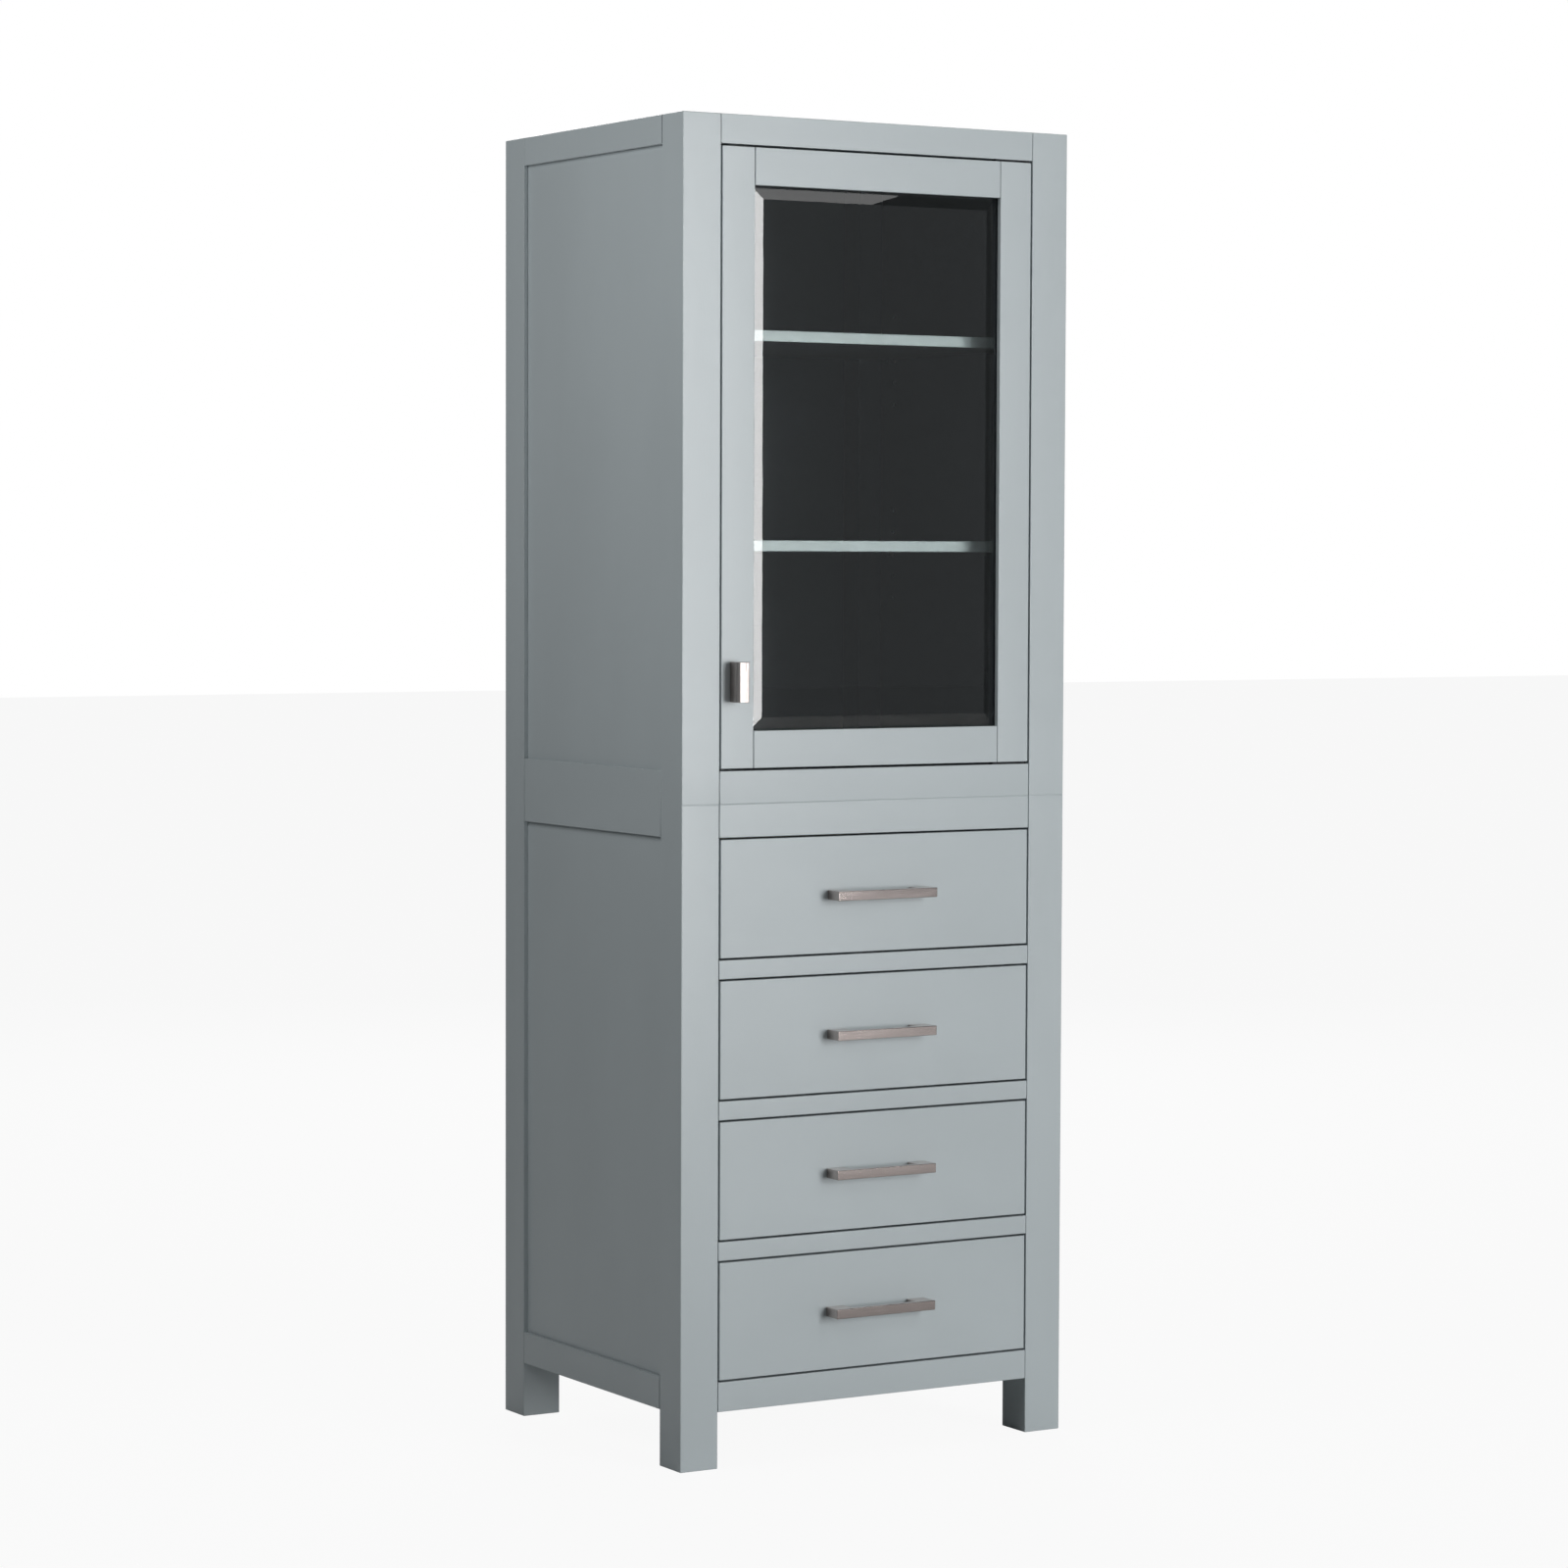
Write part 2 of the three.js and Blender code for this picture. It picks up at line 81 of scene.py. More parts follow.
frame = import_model()
MM = 0.001
DRAWERS = [name for name in sorted(frame["bodies"]) if name.startswith("drawer")]
SIDES = {"left": -1, "right": 1}
SHARP_ANGLE = math.radians(50)  # edges sharper than this are eased, and shaded as edges
SMALL_SHARP_ANGLE = math.radians(35)  # the same on screw heads and rollers
WELD_DISTANCE = 0.01 * MM  # corners of a CAD piece closer than this are one corner
FLAT_ANGLE = math.radians(0.3)  # triangles closer to level than this are one face
PAST_EVERYTHING = ((-1, -1, -1), (1, 1, 3))  # corners of a box larger than the cabinet
SHADE_PAINT_SLACK = 0.1 * MM  # how far past a wall of the compartment its painted shade is looked for


def srgb(code):
    """Linear red, green and blue of an sRGB hex colour such as "#b4bbbd"."""
    values = [int(code[i : i + 2], 16) / 255 for i in (1, 3, 5)]
    return tuple(v / 12.92 if v <= 0.04045 else ((v + 0.055) / 1.055) ** 2.4 for v in values)


# ---- Places in the frame that several pieces share ----

DECK_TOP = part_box("deck_panel")[1].z
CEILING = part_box("top_panel")[0].z
RAIL_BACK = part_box("front_rail_top")[1].y
BACK_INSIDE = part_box("back_panel_upper")[0].y
PANEL_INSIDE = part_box("side_panel_upper_right")[0].x
DOOR_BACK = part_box("door_stile_latch")[1].y


# ---- Settings ----


class CabinetFinishSettings(bpy.types.PropertyGroup):
    """Colours and surface patterns of the cabinet's materials."""

    lacquer: FloatVectorProperty(
        name="Lacquer", description="Satin lacquer outside", subtype="COLOR",
        default=srgb("#b2bbbe"),
    )
    # Charcoal painted shade: a dark paint that stands in for the shade inside the glazed compartment
    painted_shade_inside: FloatVectorProperty(
        name="Inside shade", description="Dark paint inside the glazed compartment",
        subtype="COLOR", default=srgb("#33363b"),
    )
    # Mid grey painted shade: the shelves' front edges are darkened for the lesser light that reaches
    # them through the glass
    shelf_edge_shade: FloatVectorProperty(
        name="Shelf edge shade", description="Mid grey paint on the shelves' front edges",
        subtype="COLOR", default=srgb("#7d8587"),
    )
    birch: FloatVectorProperty(
        name="Birch", description="Clear-coated birch of the drawer boxes", subtype="COLOR",
        default=srgb("#dcc49b"),
    )
    nickel: FloatVectorProperty(
        name="Nickel", description="Brushed nickel of the knob and pulls", subtype="COLOR",
        default=srgb("#bdb2ae"),
    )
    zinc: FloatVectorProperty(
        name="Zinc", description="Zinc plate of hinges, slides and screws", subtype="COLOR",
        default=srgb("#b9bdc2"),
    )
    grain_width: FloatProperty(
        name="Grain width", description="Width of the grain that shows through the lacquer",
        default=0.5 * MM, subtype="DISTANCE", unit="LENGTH",
    )
    peel_size: FloatProperty(
        name="Orange peel", description="Size of the spray's ripples in the lacquer",
        default=3.0 * MM, subtype="DISTANCE", unit="LENGTH",
    )
    brush_spacing: FloatProperty(
        name="Brush spacing", description="Distance between the brush lines in the nickel",
        default=0.45 * MM, subtype="DISTANCE", unit="LENGTH",
    )


class CabinetJoinerySettings(bpy.types.PropertyGroup):
    """Eased edges, drawer boards and shelf supports."""

    wood_edge: FloatProperty(
        name="Eased edge", description="Width of the rounding along the wood's edges",
        default=1.0 * MM, subtype="DISTANCE", unit="LENGTH",
    )
    board: FloatProperty(
        name="Drawer board", description="Thickness of the drawer box's sides",
        default=12.7 * MM, subtype="DISTANCE", unit="LENGTH",
    )
    floor_rise: FloatProperty(
        name="Floor rise", description="Lower edge of a box's sides to the underside of its floor",
        default=10 * MM, subtype="DISTANCE", unit="LENGTH",
    )
    floor_thickness: FloatProperty(
        name="Floor", description="Thickness of the drawer box's floor",
        default=6.35 * MM, subtype="DISTANCE", unit="LENGTH",
    )
    floor_groove: FloatProperty(
        name="Floor groove", description="Depth of the groove that holds the floor",
        default=5 * MM, subtype="DISTANCE", unit="LENGTH",
    )
    bead_width: FloatProperty(
        name="Glass bead", description="Width of the strips that hold the pane",
        default=8.4 * MM, subtype="DISTANCE", unit="LENGTH",
    )
    tails: IntProperty(
        name="Dovetails", description="Tails at each corner of a drawer box", default=4, min=2,
    )
    pin_width: FloatProperty(
        name="Pin width", description="Width of a dovetail pin at its narrow end",
        default=6 * MM, subtype="DISTANCE", unit="LENGTH",
    )
    dovetail_slope: FloatProperty(
        name="Dovetail slope", description="Run of the slope for each unit of its rise",
        default=1 / 6,
    )
    pin_hole: FloatProperty(
        name="Shelf pin hole", description="Diameter of the holes for the shelf pins",
        default=5 * MM, subtype="DISTANCE", unit="LENGTH",
    )
    pin_pitch: FloatProperty(
        name="Hole pitch", description="Height from one shelf pin hole to the next",
        default=32 * MM, subtype="DISTANCE", unit="LENGTH",
    )
    pin_setback: FloatProperty(
        name="Pin setback", description="Shelf's front or back edge to its pins",
        default=32 * MM, subtype="DISTANCE", unit="LENGTH",
    )


class CabinetHardwareSettings(bpy.types.PropertyGroup):
    """Handles, screws, catch and slide rollers."""

    metal_edge: FloatProperty(
        name="Metal edge", description="Rounding along the edges of the knob and pulls",
        default=0.9 * MM, subtype="DISTANCE", unit="LENGTH",
    )
    handle_bar: FloatProperty(
        name="Pull bar", description="Depth of a pull's bar, from front to back",
        default=8 * MM, subtype="DISTANCE", unit="LENGTH",
    )
    handle_leg: FloatProperty(
        name="Pull leg", description="Width of a pull's legs", default=28 * MM,
        subtype="DISTANCE", unit="LENGTH",
    )
    screw_head: FloatProperty(
        name="Screw head", description="Diameter of a screw's head",
        default=6.4 * MM, subtype="DISTANCE", unit="LENGTH",
    )
    roller: FloatProperty(
        name="Roller", description="Diameter of a slide's nylon rollers",
        default=12 * MM, subtype="DISTANCE", unit="LENGTH",
    )


class CabinetStageSettings(bpy.types.PropertyGroup):
    """Camera and studio light."""

    camera_place: FloatVectorProperty(
        name="Camera", description="Where the camera stands", subtype="TRANSLATION",
        unit="LENGTH", default=(-3.18237, -5.31611, 1.22214),
    )
    camera_turn: FloatVectorProperty(
        name="Camera turn", description="Heading from +Y towards +X, pitch and roll",
        subtype="EULER", unit="ROTATION",
        default=(math.radians(30.8683), math.radians(-2.9651), math.radians(0.1979)),
    )
    lens: FloatProperty(name="Lens", description="Focal length in mm", default=101.515)
    key_power: FloatProperty(name="Key light", description="Power in watts", default=255)
    flat_power: FloatProperty(
        name="Grey flat", description="Power in watts of the dim flat that the door mirrors",
        default=6.5,
    )
    upper_power: FloatProperty(name="Upper light", description="Power in watts", default=18)
    side_power: FloatProperty(name="Side light", description="Power in watts", default=16)
    rear_power: FloatProperty(name="Rear light", description="Power in watts", default=110)
    floor: FloatVectorProperty(
        name="Floor", description="Pale studio floor", subtype="COLOR", default=srgb("#c8c8c8"),
    )
    floor_glow: FloatProperty(
        name="Floor glow", description="Share of even white the camera sees in the floor",
        default=0.93, min=0, max=1, subtype="FACTOR",
    )


# ---- Selecting and editing ----


def deselect_all():
    bpy.ops.object.select_all(action="DESELECT")


def make_active(piece):
    deselect_all()
    piece.select_set(True)
    bpy.context.view_layer.objects.active = piece


def start_editing(piece):
    make_active(piece)
    bpy.ops.object.mode_set(mode="EDIT")
    bpy.ops.mesh.select_mode(type="FACE")
    bpy.ops.mesh.select_all(action="SELECT")


def stop_editing():
    bpy.ops.object.mode_set(mode="OBJECT")


def select_where(piece, kind, test):
    """In edit mode, selects only the faces or edges that pass the test."""
    bpy.ops.mesh.select_mode(type=kind)
    bpy.ops.mesh.select_all(action="DESELECT")
    mesh = bmesh.from_edit_mesh(piece.data)
    mesh.normal_update()
    for part in mesh.faces if kind == "FACE" else mesh.edges:
        if test(part):
            part.select_set(True)
    mesh.select_flush_mode()
    bmesh.update_edit_mesh(piece.data)


def apply_modifier(piece, kind, **settings):
    modifier = piece.modifiers.new(kind.title(), kind)
    for name, value in settings.items():
        setattr(modifier, name, value)
    make_active(piece)
    bpy.ops.object.modifier_apply(modifier=modifier.name)


def add_block(name, low, high):
    """A cube primitive that fills the box between two corners."""
    low, high = Vector(low), Vector(high)
    deselect_all()
    bpy.ops.mesh.primitive_cube_add(size=1, location=(low + high) / 2, scale=high - low)
    piece = bpy.context.object
    bpy.ops.object.transform_apply(location=True, rotation=True, scale=True)
    piece.name = piece.data.name = name
    return piece


def add_bar(name, radius, start, end, vertices=24):
    """A cylinder primitive between two points."""
    start, end = Vector(start), Vector(end)
    turn = (end - start).to_track_quat("Z", "Y").to_euler()
    deselect_all()
    bpy.ops.mesh.primitive_cylinder_add(
        vertices=vertices, radius=radius, depth=(end - start).length,
        location=(start + end) / 2, rotation=turn,
    )
    piece = bpy.context.object
    bpy.ops.object.transform_apply(location=True, rotation=True, scale=True)
    piece.name = piece.data.name = name
    return piece


def joined(name, pieces):
    """One object made of several, which stay separate shells in it."""
    make_active(pieces[0])
    for piece in pieces:
        piece.select_set(True)
    if len(pieces) > 1:
        bpy.ops.object.join()
    pieces[0].name = pieces[0].data.name = name
    return pieces[0]


def cut(piece, cutters):
    """Takes the cutters' shapes out of the piece and deletes them."""
    cutter = joined("cutter", cutters)
    apply_modifier(piece, "BOOLEAN", operation="DIFFERENCE", solver="EXACT", object=cutter)
    bpy.data.objects.remove(cutter)
    return piece


def copied(piece, name, offset=(0, 0, 0), turn=None):
    """A copy with a mesh of its own, turned about the origin and then moved."""
    mesh = piece.data.copy()
    mesh.transform(Matrix.Translation(offset) @ (turn or Matrix.Identity(4)))
    copy = bpy.data.objects.new(name, mesh)
    bpy.context.scene.collection.objects.link(copy)
    return copy


def ease_edges(piece, width, segments=2, least_area=120 * MM**2, least_length=7 * MM):
    """Rounds the sharp outward edges between the piece's larger faces."""

    def is_outer(edge):
        return (
            len(edge.link_faces) == 2
            and edge.is_convex
            and edge.calc_face_angle() > SHARP_ANGLE
            and edge.calc_length() > least_length
            and min(face.calc_area() for face in edge.link_faces) > least_area
        )

    start_editing(piece)
    select_where(piece, "EDGE", is_outer)
    bpy.ops.mesh.bevel(offset=width, segments=segments, affect="EDGES", clamp_overlap=False)
    stop_editing()
    return shaded(piece)


def shaded(piece, angle=SHARP_ANGLE):
    """Smooth across rounded edges, flat across the large faces."""
    make_active(piece)
    bpy.ops.object.shade_smooth_by_angle(angle=angle)
    apply_modifier(piece, "WEIGHTED_NORMAL", keep_sharp=True)
    return piece


def groove_ends(piece, axis, shoulders, face_axis, face, depth=2 * MM, width=0.9 * MM):
    """Cuts a narrow shadow groove across a rail's show face, just inside each shoulder."""
    low, high = (Vector(corner) for corner in PAST_EVERYTHING)
    overlap = 0.4 * MM  # how far the cutter reaches past the shoulder
    low[face_axis], high[face_axis] = face - depth, face + depth
    cutters = []
    for shoulder, inward in zip(shoulders, (1, -1)):
        ends = sorted((shoulder - inward * overlap, shoulder + inward * width))
        low[axis], high[axis] = ends
        cutters.append(add_block("groove", low, high))
    return cut(piece, cutters)


def finished_copy(node, width, segments=2, grooves=None, **limits):
    """A CAD node's shape with its vertices merged and its edges eased, standing for the node."""
    source = frame["nodes"][node]
    piece = bpy.data.objects.new(f"finished_{node}", source.data.copy())
    bpy.context.scene.collection.objects.link(piece)
    piece.data.materials.clear()
    start_editing(piece)
    bpy.ops.mesh.remove_doubles(threshold=WELD_DISTANCE)
    bpy.ops.mesh.dissolve_limited(angle_limit=FLAT_ANGLE)
    stop_editing()
    if grooves:
        groove_ends(piece, *grooves)
    if width:
        ease_edges(piece, width, segments, **limits)
    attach(piece, source["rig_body"])
    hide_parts(node)
    return piece


def coat(piece, slot, *materials):
    """Gives the piece its materials, the first one all over; the slot argument is not used."""
    piece.data.materials.clear()
    for material in materials:
        piece.data.materials.append(material)
    for face in piece.data.polygons:
        face.material_index = 0
    return piece


def coat_where(piece, index, test):
    """Gives one of the piece's materials to the faces whose centre and normal pass the test."""
    for face in piece.data.polygons:
        if test(face.center, face.normal):
            face.material_index = index


# ---- Materials ----


def add_node(tree, kind, inputs=None, **settings):
    """Adds a shader node with its settings, and sets or links its inputs."""
    made = tree.nodes.new(kind)
    for name, value in settings.items():
        setattr(made, name, value)
    for name, value in (inputs or {}).items():
        if isinstance(value, bpy.types.NodeSocket):
            tree.links.new(value, made.inputs[name])
        else:
            made.inputs[name].default_value = value
    return made


def new_material(name):
    """An empty material, with its tree and its surface shader."""
    material = bpy.data.materials.new(name)
    material.use_nodes = True
    tree = material.node_tree
    tree.nodes.clear()
    shader = add_node(tree, "ShaderNodeBsdfPrincipled")
    add_node(tree, "ShaderNodeOutputMaterial", {"Surface": shader.outputs["BSDF"]})
    return material, tree, shader


def finish_settings():
    return bpy.context.scene.cabinet_finish


def stretched(tree, axis, across, along):
    """Object coordinates with one pattern unit `along` down the axis and `across` over it."""
    scale = [1 / across] * 3
    scale["XYZ".index(axis)] = 1 / along
    place = add_node(tree, "ShaderNodeTexCoord").outputs["Object"]
    return add_node(tree, "ShaderNodeMapping", {"Vector": place, "Scale": scale}).outputs[0]


def noise(tree, vector, detail=2.0, roughness=0.5, distortion=0.0):
    settings = {
        "Vector": vector, "Scale": 1.0, "Detail": detail, "Roughness": roughness,
        "Distortion": distortion,
    }
    return add_node(tree, "ShaderNodeTexNoise", settings).outputs["Fac"]


def spread(tree, value, low, high):
    """Stretches the middle of a noise to a range of values."""
    settings = {"Value": value, "From Min": 0.2, "From Max": 0.8, "To Min": low, "To Max": high}
    ranged = add_node(tree, "ShaderNodeMapRange", settings, interpolation_type="SMOOTHSTEP")
    return ranged.outputs["Result"]


def shade_between(tree, value, colour, darker, lighter):
    """A colour that goes from a share of itself to a larger share as the value rises."""
    ramp = add_node(tree, "ShaderNodeValToRGB", {"Fac": value})
    ramp.color_ramp.interpolation = "EASE"
    for stop, place, share in zip(ramp.color_ramp.elements, (0.22, 0.78), (darker, lighter)):
        stop.position = place
        stop.color = [min(1, part * share) for part in colour] + [1]
    return ramp.outputs["Color"]


def bumped(tree, shader, height, distance, strength=1.0, below=None):
    """Raises a bump on the shader, over another one if it is given."""
    inputs = {"Height": height, "Distance": distance, "Strength": strength}
    if below:
        inputs["Normal"] = below
    normal = add_node(tree, "ShaderNodeBump", inputs).outputs["Normal"]
    tree.links.new(normal, shader.inputs["Normal"])
    return normal


def lacquer(axis, tone="grey"):
    """Sprayed satin lacquer on wood: fine peel ripples, and grain that telegraphs through it.

    The film scatters widely, with a soft broad highlight, and its colour drifts a little.
    """
    name = f"{tone}_satin_lacquer_grain_{axis.lower()}"
    if name in bpy.data.materials:
        return bpy.data.materials[name]
    settings = finish_settings()
    # The charcoal and mid grey tones are painted shade: the compartment's walls and the shelf edges,
    # darkened for the shade that falls there
    colour = {
        "grey": settings.lacquer,
        "charcoal": settings.painted_shade_inside,
        "mid_grey": settings.shelf_edge_shade,
    }[tone]
    material, tree, shader = new_material(name)
    cloud = noise(tree, stretched(tree, axis, 180 * MM, 420 * MM), detail=3)
    base = shade_between(tree, cloud, colour, 0.965, 1.02)
    tree.links.new(base, shader.inputs["Base Color"])
    grain_width = settings.grain_width
    grain = noise(tree, stretched(tree, axis, grain_width, 60 * grain_width), detail=2)
    peel = noise(tree, stretched(tree, axis, settings.peel_size, settings.peel_size), detail=1)
    below = bumped(tree, shader, grain, 0.1 * MM, 1.0)
    bumped(tree, shader, peel, 0.03 * MM, 0.5, below)
    shader.inputs["Roughness"].default_value = 0.29
    shader.inputs["IOR"].default_value = 1.5
    shader.inputs["Coat Weight"].default_value = 0.12
    shader.inputs["Coat Roughness"].default_value = 0.25
    return material


def birch(axis, end_grain=False):
    """Planed birch under a thin clear coat: pale, close-grained, with soft growth bands.

    End grain drinks the coat, so it is darker and duller, and shows rings, not streaks.
    """
    name = f"clear_coated_birch_{'end_' if end_grain else ''}grain_{axis.lower()}"
    if name in bpy.data.materials:
        return bpy.data.materials[name]
    colour = finish_settings().birch
    material, tree, shader = new_material(name)
    band_length = 6 * MM if end_grain else 260 * MM
    fibre_length = 1.2 * MM if end_grain else 22 * MM
    bands = noise(tree, stretched(tree, axis, 9 * MM, band_length), 4, distortion=0.6)
    fibres = noise(tree, stretched(tree, axis, 0.9 * MM, fibre_length), 2)
    share = 0.72 if end_grain else 1.0
    broad = shade_between(tree, bands, colour, 0.8 * share, 1.05 * share)
    fine = shade_between(tree, fibres, (1, 1, 1), 0.86, 1.0)
    tree.links.new(multiplied(tree, broad, fine), shader.inputs["Base Color"])
    bumped(tree, shader, fibres, 0.06 * MM, 0.4)
    tree.links.new(spread(tree, bands, 0.42, 0.52), shader.inputs["Roughness"])
    return material


def multiplied(tree, first, second):
    """The product of two colours."""
    mixer = add_node(tree, "ShaderNodeMix", data_type="RGBA", blend_type="MULTIPLY")
    mixer.inputs["Factor"].default_value = 1.0
    sockets = [socket for socket in mixer.inputs if socket.type == "RGBA"]
    tree.links.new(first, sockets[0])
    tree.links.new(second, sockets[1])
    return next(socket for socket in mixer.outputs if socket.type == "RGBA")


def brushed_nickel(axis):
    """Nickel plate over die-cast zinc, brushed one way: it spreads a reflection across the lines.

    The lines are drawn about twice as coarse as real ones, so that they show.
    """
    name = f"brushed_nickel_{axis.lower()}"
    if name in bpy.data.materials:
        return bpy.data.materials[name]
    settings = finish_settings()
    material, tree, shader = new_material(name)
    spacing = settings.brush_spacing
    lines = noise(tree, stretched(tree, axis, spacing, 90 * spacing), detail=3, roughness=0.6)
    base = shade_between(tree, lines, settings.nickel, 0.86, 1.04)
    tree.links.new(base, shader.inputs["Base Color"])
    bumped(tree, shader, lines, 0.05 * MM, 0.8)
    tree.links.new(spread(tree, lines, 0.12, 0.17), shader.inputs["Roughness"])
    shader.inputs["Metallic"].default_value = 1.0
    return material


def zinc_plate(black=False):
    """Rolled steel with zinc plate, bright or chromated black: cloudy spangle, middling gloss."""
    name = "black_zinc_plated_steel" if black else "zinc_plated_steel"
    if name in bpy.data.materials:
        return bpy.data.materials[name]
    material, tree, shader = new_material(name)
    colour = srgb("#303133") if black else finish_settings().zinc
    spangle = noise(tree, stretched(tree, "Y", 5 * MM, 14 * MM), detail=3)
    base = shade_between(tree, spangle, colour, 0.85, 1.05)
    tree.links.new(base, shader.inputs["Base Color"])
    tree.links.new(spread(tree, spangle, 0.26, 0.4), shader.inputs["Roughness"])
    bumped(tree, shader, spangle, 0.02 * MM, 0.4)
    shader.inputs["Metallic"].default_value = 1.0
    return material


def moulded_plastic(name, code):
    """Injection-moulded acetal or nylon with a fine spark-eroded texture: even and dull."""
    if name in bpy.data.materials:
        return bpy.data.materials[name]
    material, tree, shader = new_material(name)
    grit = noise(tree, stretched(tree, "Z", 0.7 * MM, 0.7 * MM), detail=2)
    tree.links.new(shade_between(tree, grit, srgb(code), 0.94, 1.03), shader.inputs["Base Color"])
    tree.links.new(spread(tree, grit, 0.42, 0.55), shader.inputs["Roughness"])
    bumped(tree, shader, grit, 0.03 * MM, 0.5)
    return material


def plate_glass():
    """Clear float glass with a ground and polished bevel: sharp, even reflections."""
    material, tree, shader = new_material("clear_plate_glass")
    shader.inputs["Base Color"].default_value = (*srgb("#f1f7f5"), 1)
    shader.inputs["Transmission Weight"].default_value = 1.0
    shader.inputs["IOR"].default_value = 1.52
    shader.inputs["Roughness"].default_value = 0.0
    return material


# ---- Screws ----


def screw_head():
    """A pan head with a cross recess, its flat back at the origin and its face towards +Z."""
    radius = bpy.context.scene.cabinet_hardware.screw_head / 2
    height = 0.64 * radius
    head = add_bar("screw_head", radius, (0, 0, 0), (0, 0, height), vertices=28)
    start_editing(head)
    select_where(head, "FACE", lambda face: face.normal.z > 0.9)
    bpy.ops.mesh.bevel(offset=0.35 * radius, segments=3, affect="EDGES", clamp_overlap=False)
    stop_editing()
    arm, slot = 0.58 * radius, 0.13 * radius
    slot_floor = 0.3 * height
    for x, y in ((arm, slot), (slot, arm)):
        cut(head, [add_block("slot", (-x, -y, slot_floor), (x, y, 2 * height))])
    return shaded(head, SMALL_SHARP_ANGLE)


TURNS = {
    "+Z": Matrix.Identity(4),
    "-Z": Matrix.Rotation(math.pi, 4, "X"),
    "+Y": Matrix.Rotation(-math.pi / 2, 4, "X"),
    "-Y": Matrix.Rotation(math.pi / 2, 4, "X"),
}


def add_screws(name, body, facing, places):
    """A group of like screws with their faces one way, as one piece."""
    head = screw_head()
    turn = TURNS[facing]
    copies = [copied(head, f"{name}_{i}", place, turn) for i, place in enumerate(places)]
    bpy.data.objects.remove(head)
    group = joined(name, copies)
    coat(group, "zinc_steel", zinc_plate())
    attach(group, body)
    return group


# ---- The case ----


def is_shaded_inside(point):
    """Whether a face's centre lies on the walls of the glazed compartment, which take the painted
    shade.
    """
    return (
        abs(point.x) < PANEL_INSIDE + SHADE_PAINT_SLACK
        and RAIL_BACK - SHADE_PAINT_SLACK < point.y < BACK_INSIDE + SHADE_PAINT_SLACK
        and DECK_TOP - SHADE_PAINT_SLACK < point.z < CEILING + SHADE_PAINT_SLACK
    )


class CABINET_OT_frame(bpy.types.Operator):
    """Builds the posts and rails of the case"""

    bl_idname = "cabinet.frame"
    bl_label = "Posts and rails"

    def execute(self, context):
        width = context.scene.cabinet_joinery.wood_edge
        grains = {
            "post": "Z", "side_rail": "Y", "front_rail": "X", "drawer_divider": "X",
            "back_rail": "X",
        }
        for node in sorted(frame["nodes"]):
            axis = next((a for start, a in grains.items() if node.startswith(start)), None)
            if axis is None:
                continue
            piece = finished_copy(node, width, grooves=self.grooves(node))
            if node.startswith("post"):
                self.mark_shade_line(piece)
            coat(piece, "grey_paint", lacquer(axis), lacquer(axis, "charcoal"))
            # Faces inside the compartment take the charcoal painted shade
            coat_where(piece, 1, lambda centre, normal: is_shaded_inside(centre))
        return {"FINISHED"}

    def grooves(self, node):
        """Where a rail meets its posts, for the shadow grooves; none for a post."""
        front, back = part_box("post_front_right"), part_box("post_back_right")
        if node.startswith("side_rail"):
            side = SIDES[node.rsplit("_", 1)[1]]
            return 1, (front[1].y, back[0].y), 0, side * front[1].x
        if node.startswith(("front_rail", "drawer_divider")):
            return 0, (-front[0].x, front[0].x), 1, front[0].y
        return None

    def mark_shade_line(self, piece):
        """Divides a post's faces where the charcoal painted shade of the compartment begins."""
        planes = [
            ((0, 0, DECK_TOP), (0, 0, 1)),
            ((0, 0, CEILING), (0, 0, 1)),
            ((0, RAIL_BACK, 0), (0, 1, 0)),
        ]
        start_editing(piece)
        for place, normal in planes:
            bpy.ops.mesh.select_all(action="SELECT")
            bpy.ops.mesh.bisect(plane_co=place, plane_no=normal)
        stop_editing()
        shaded(piece)


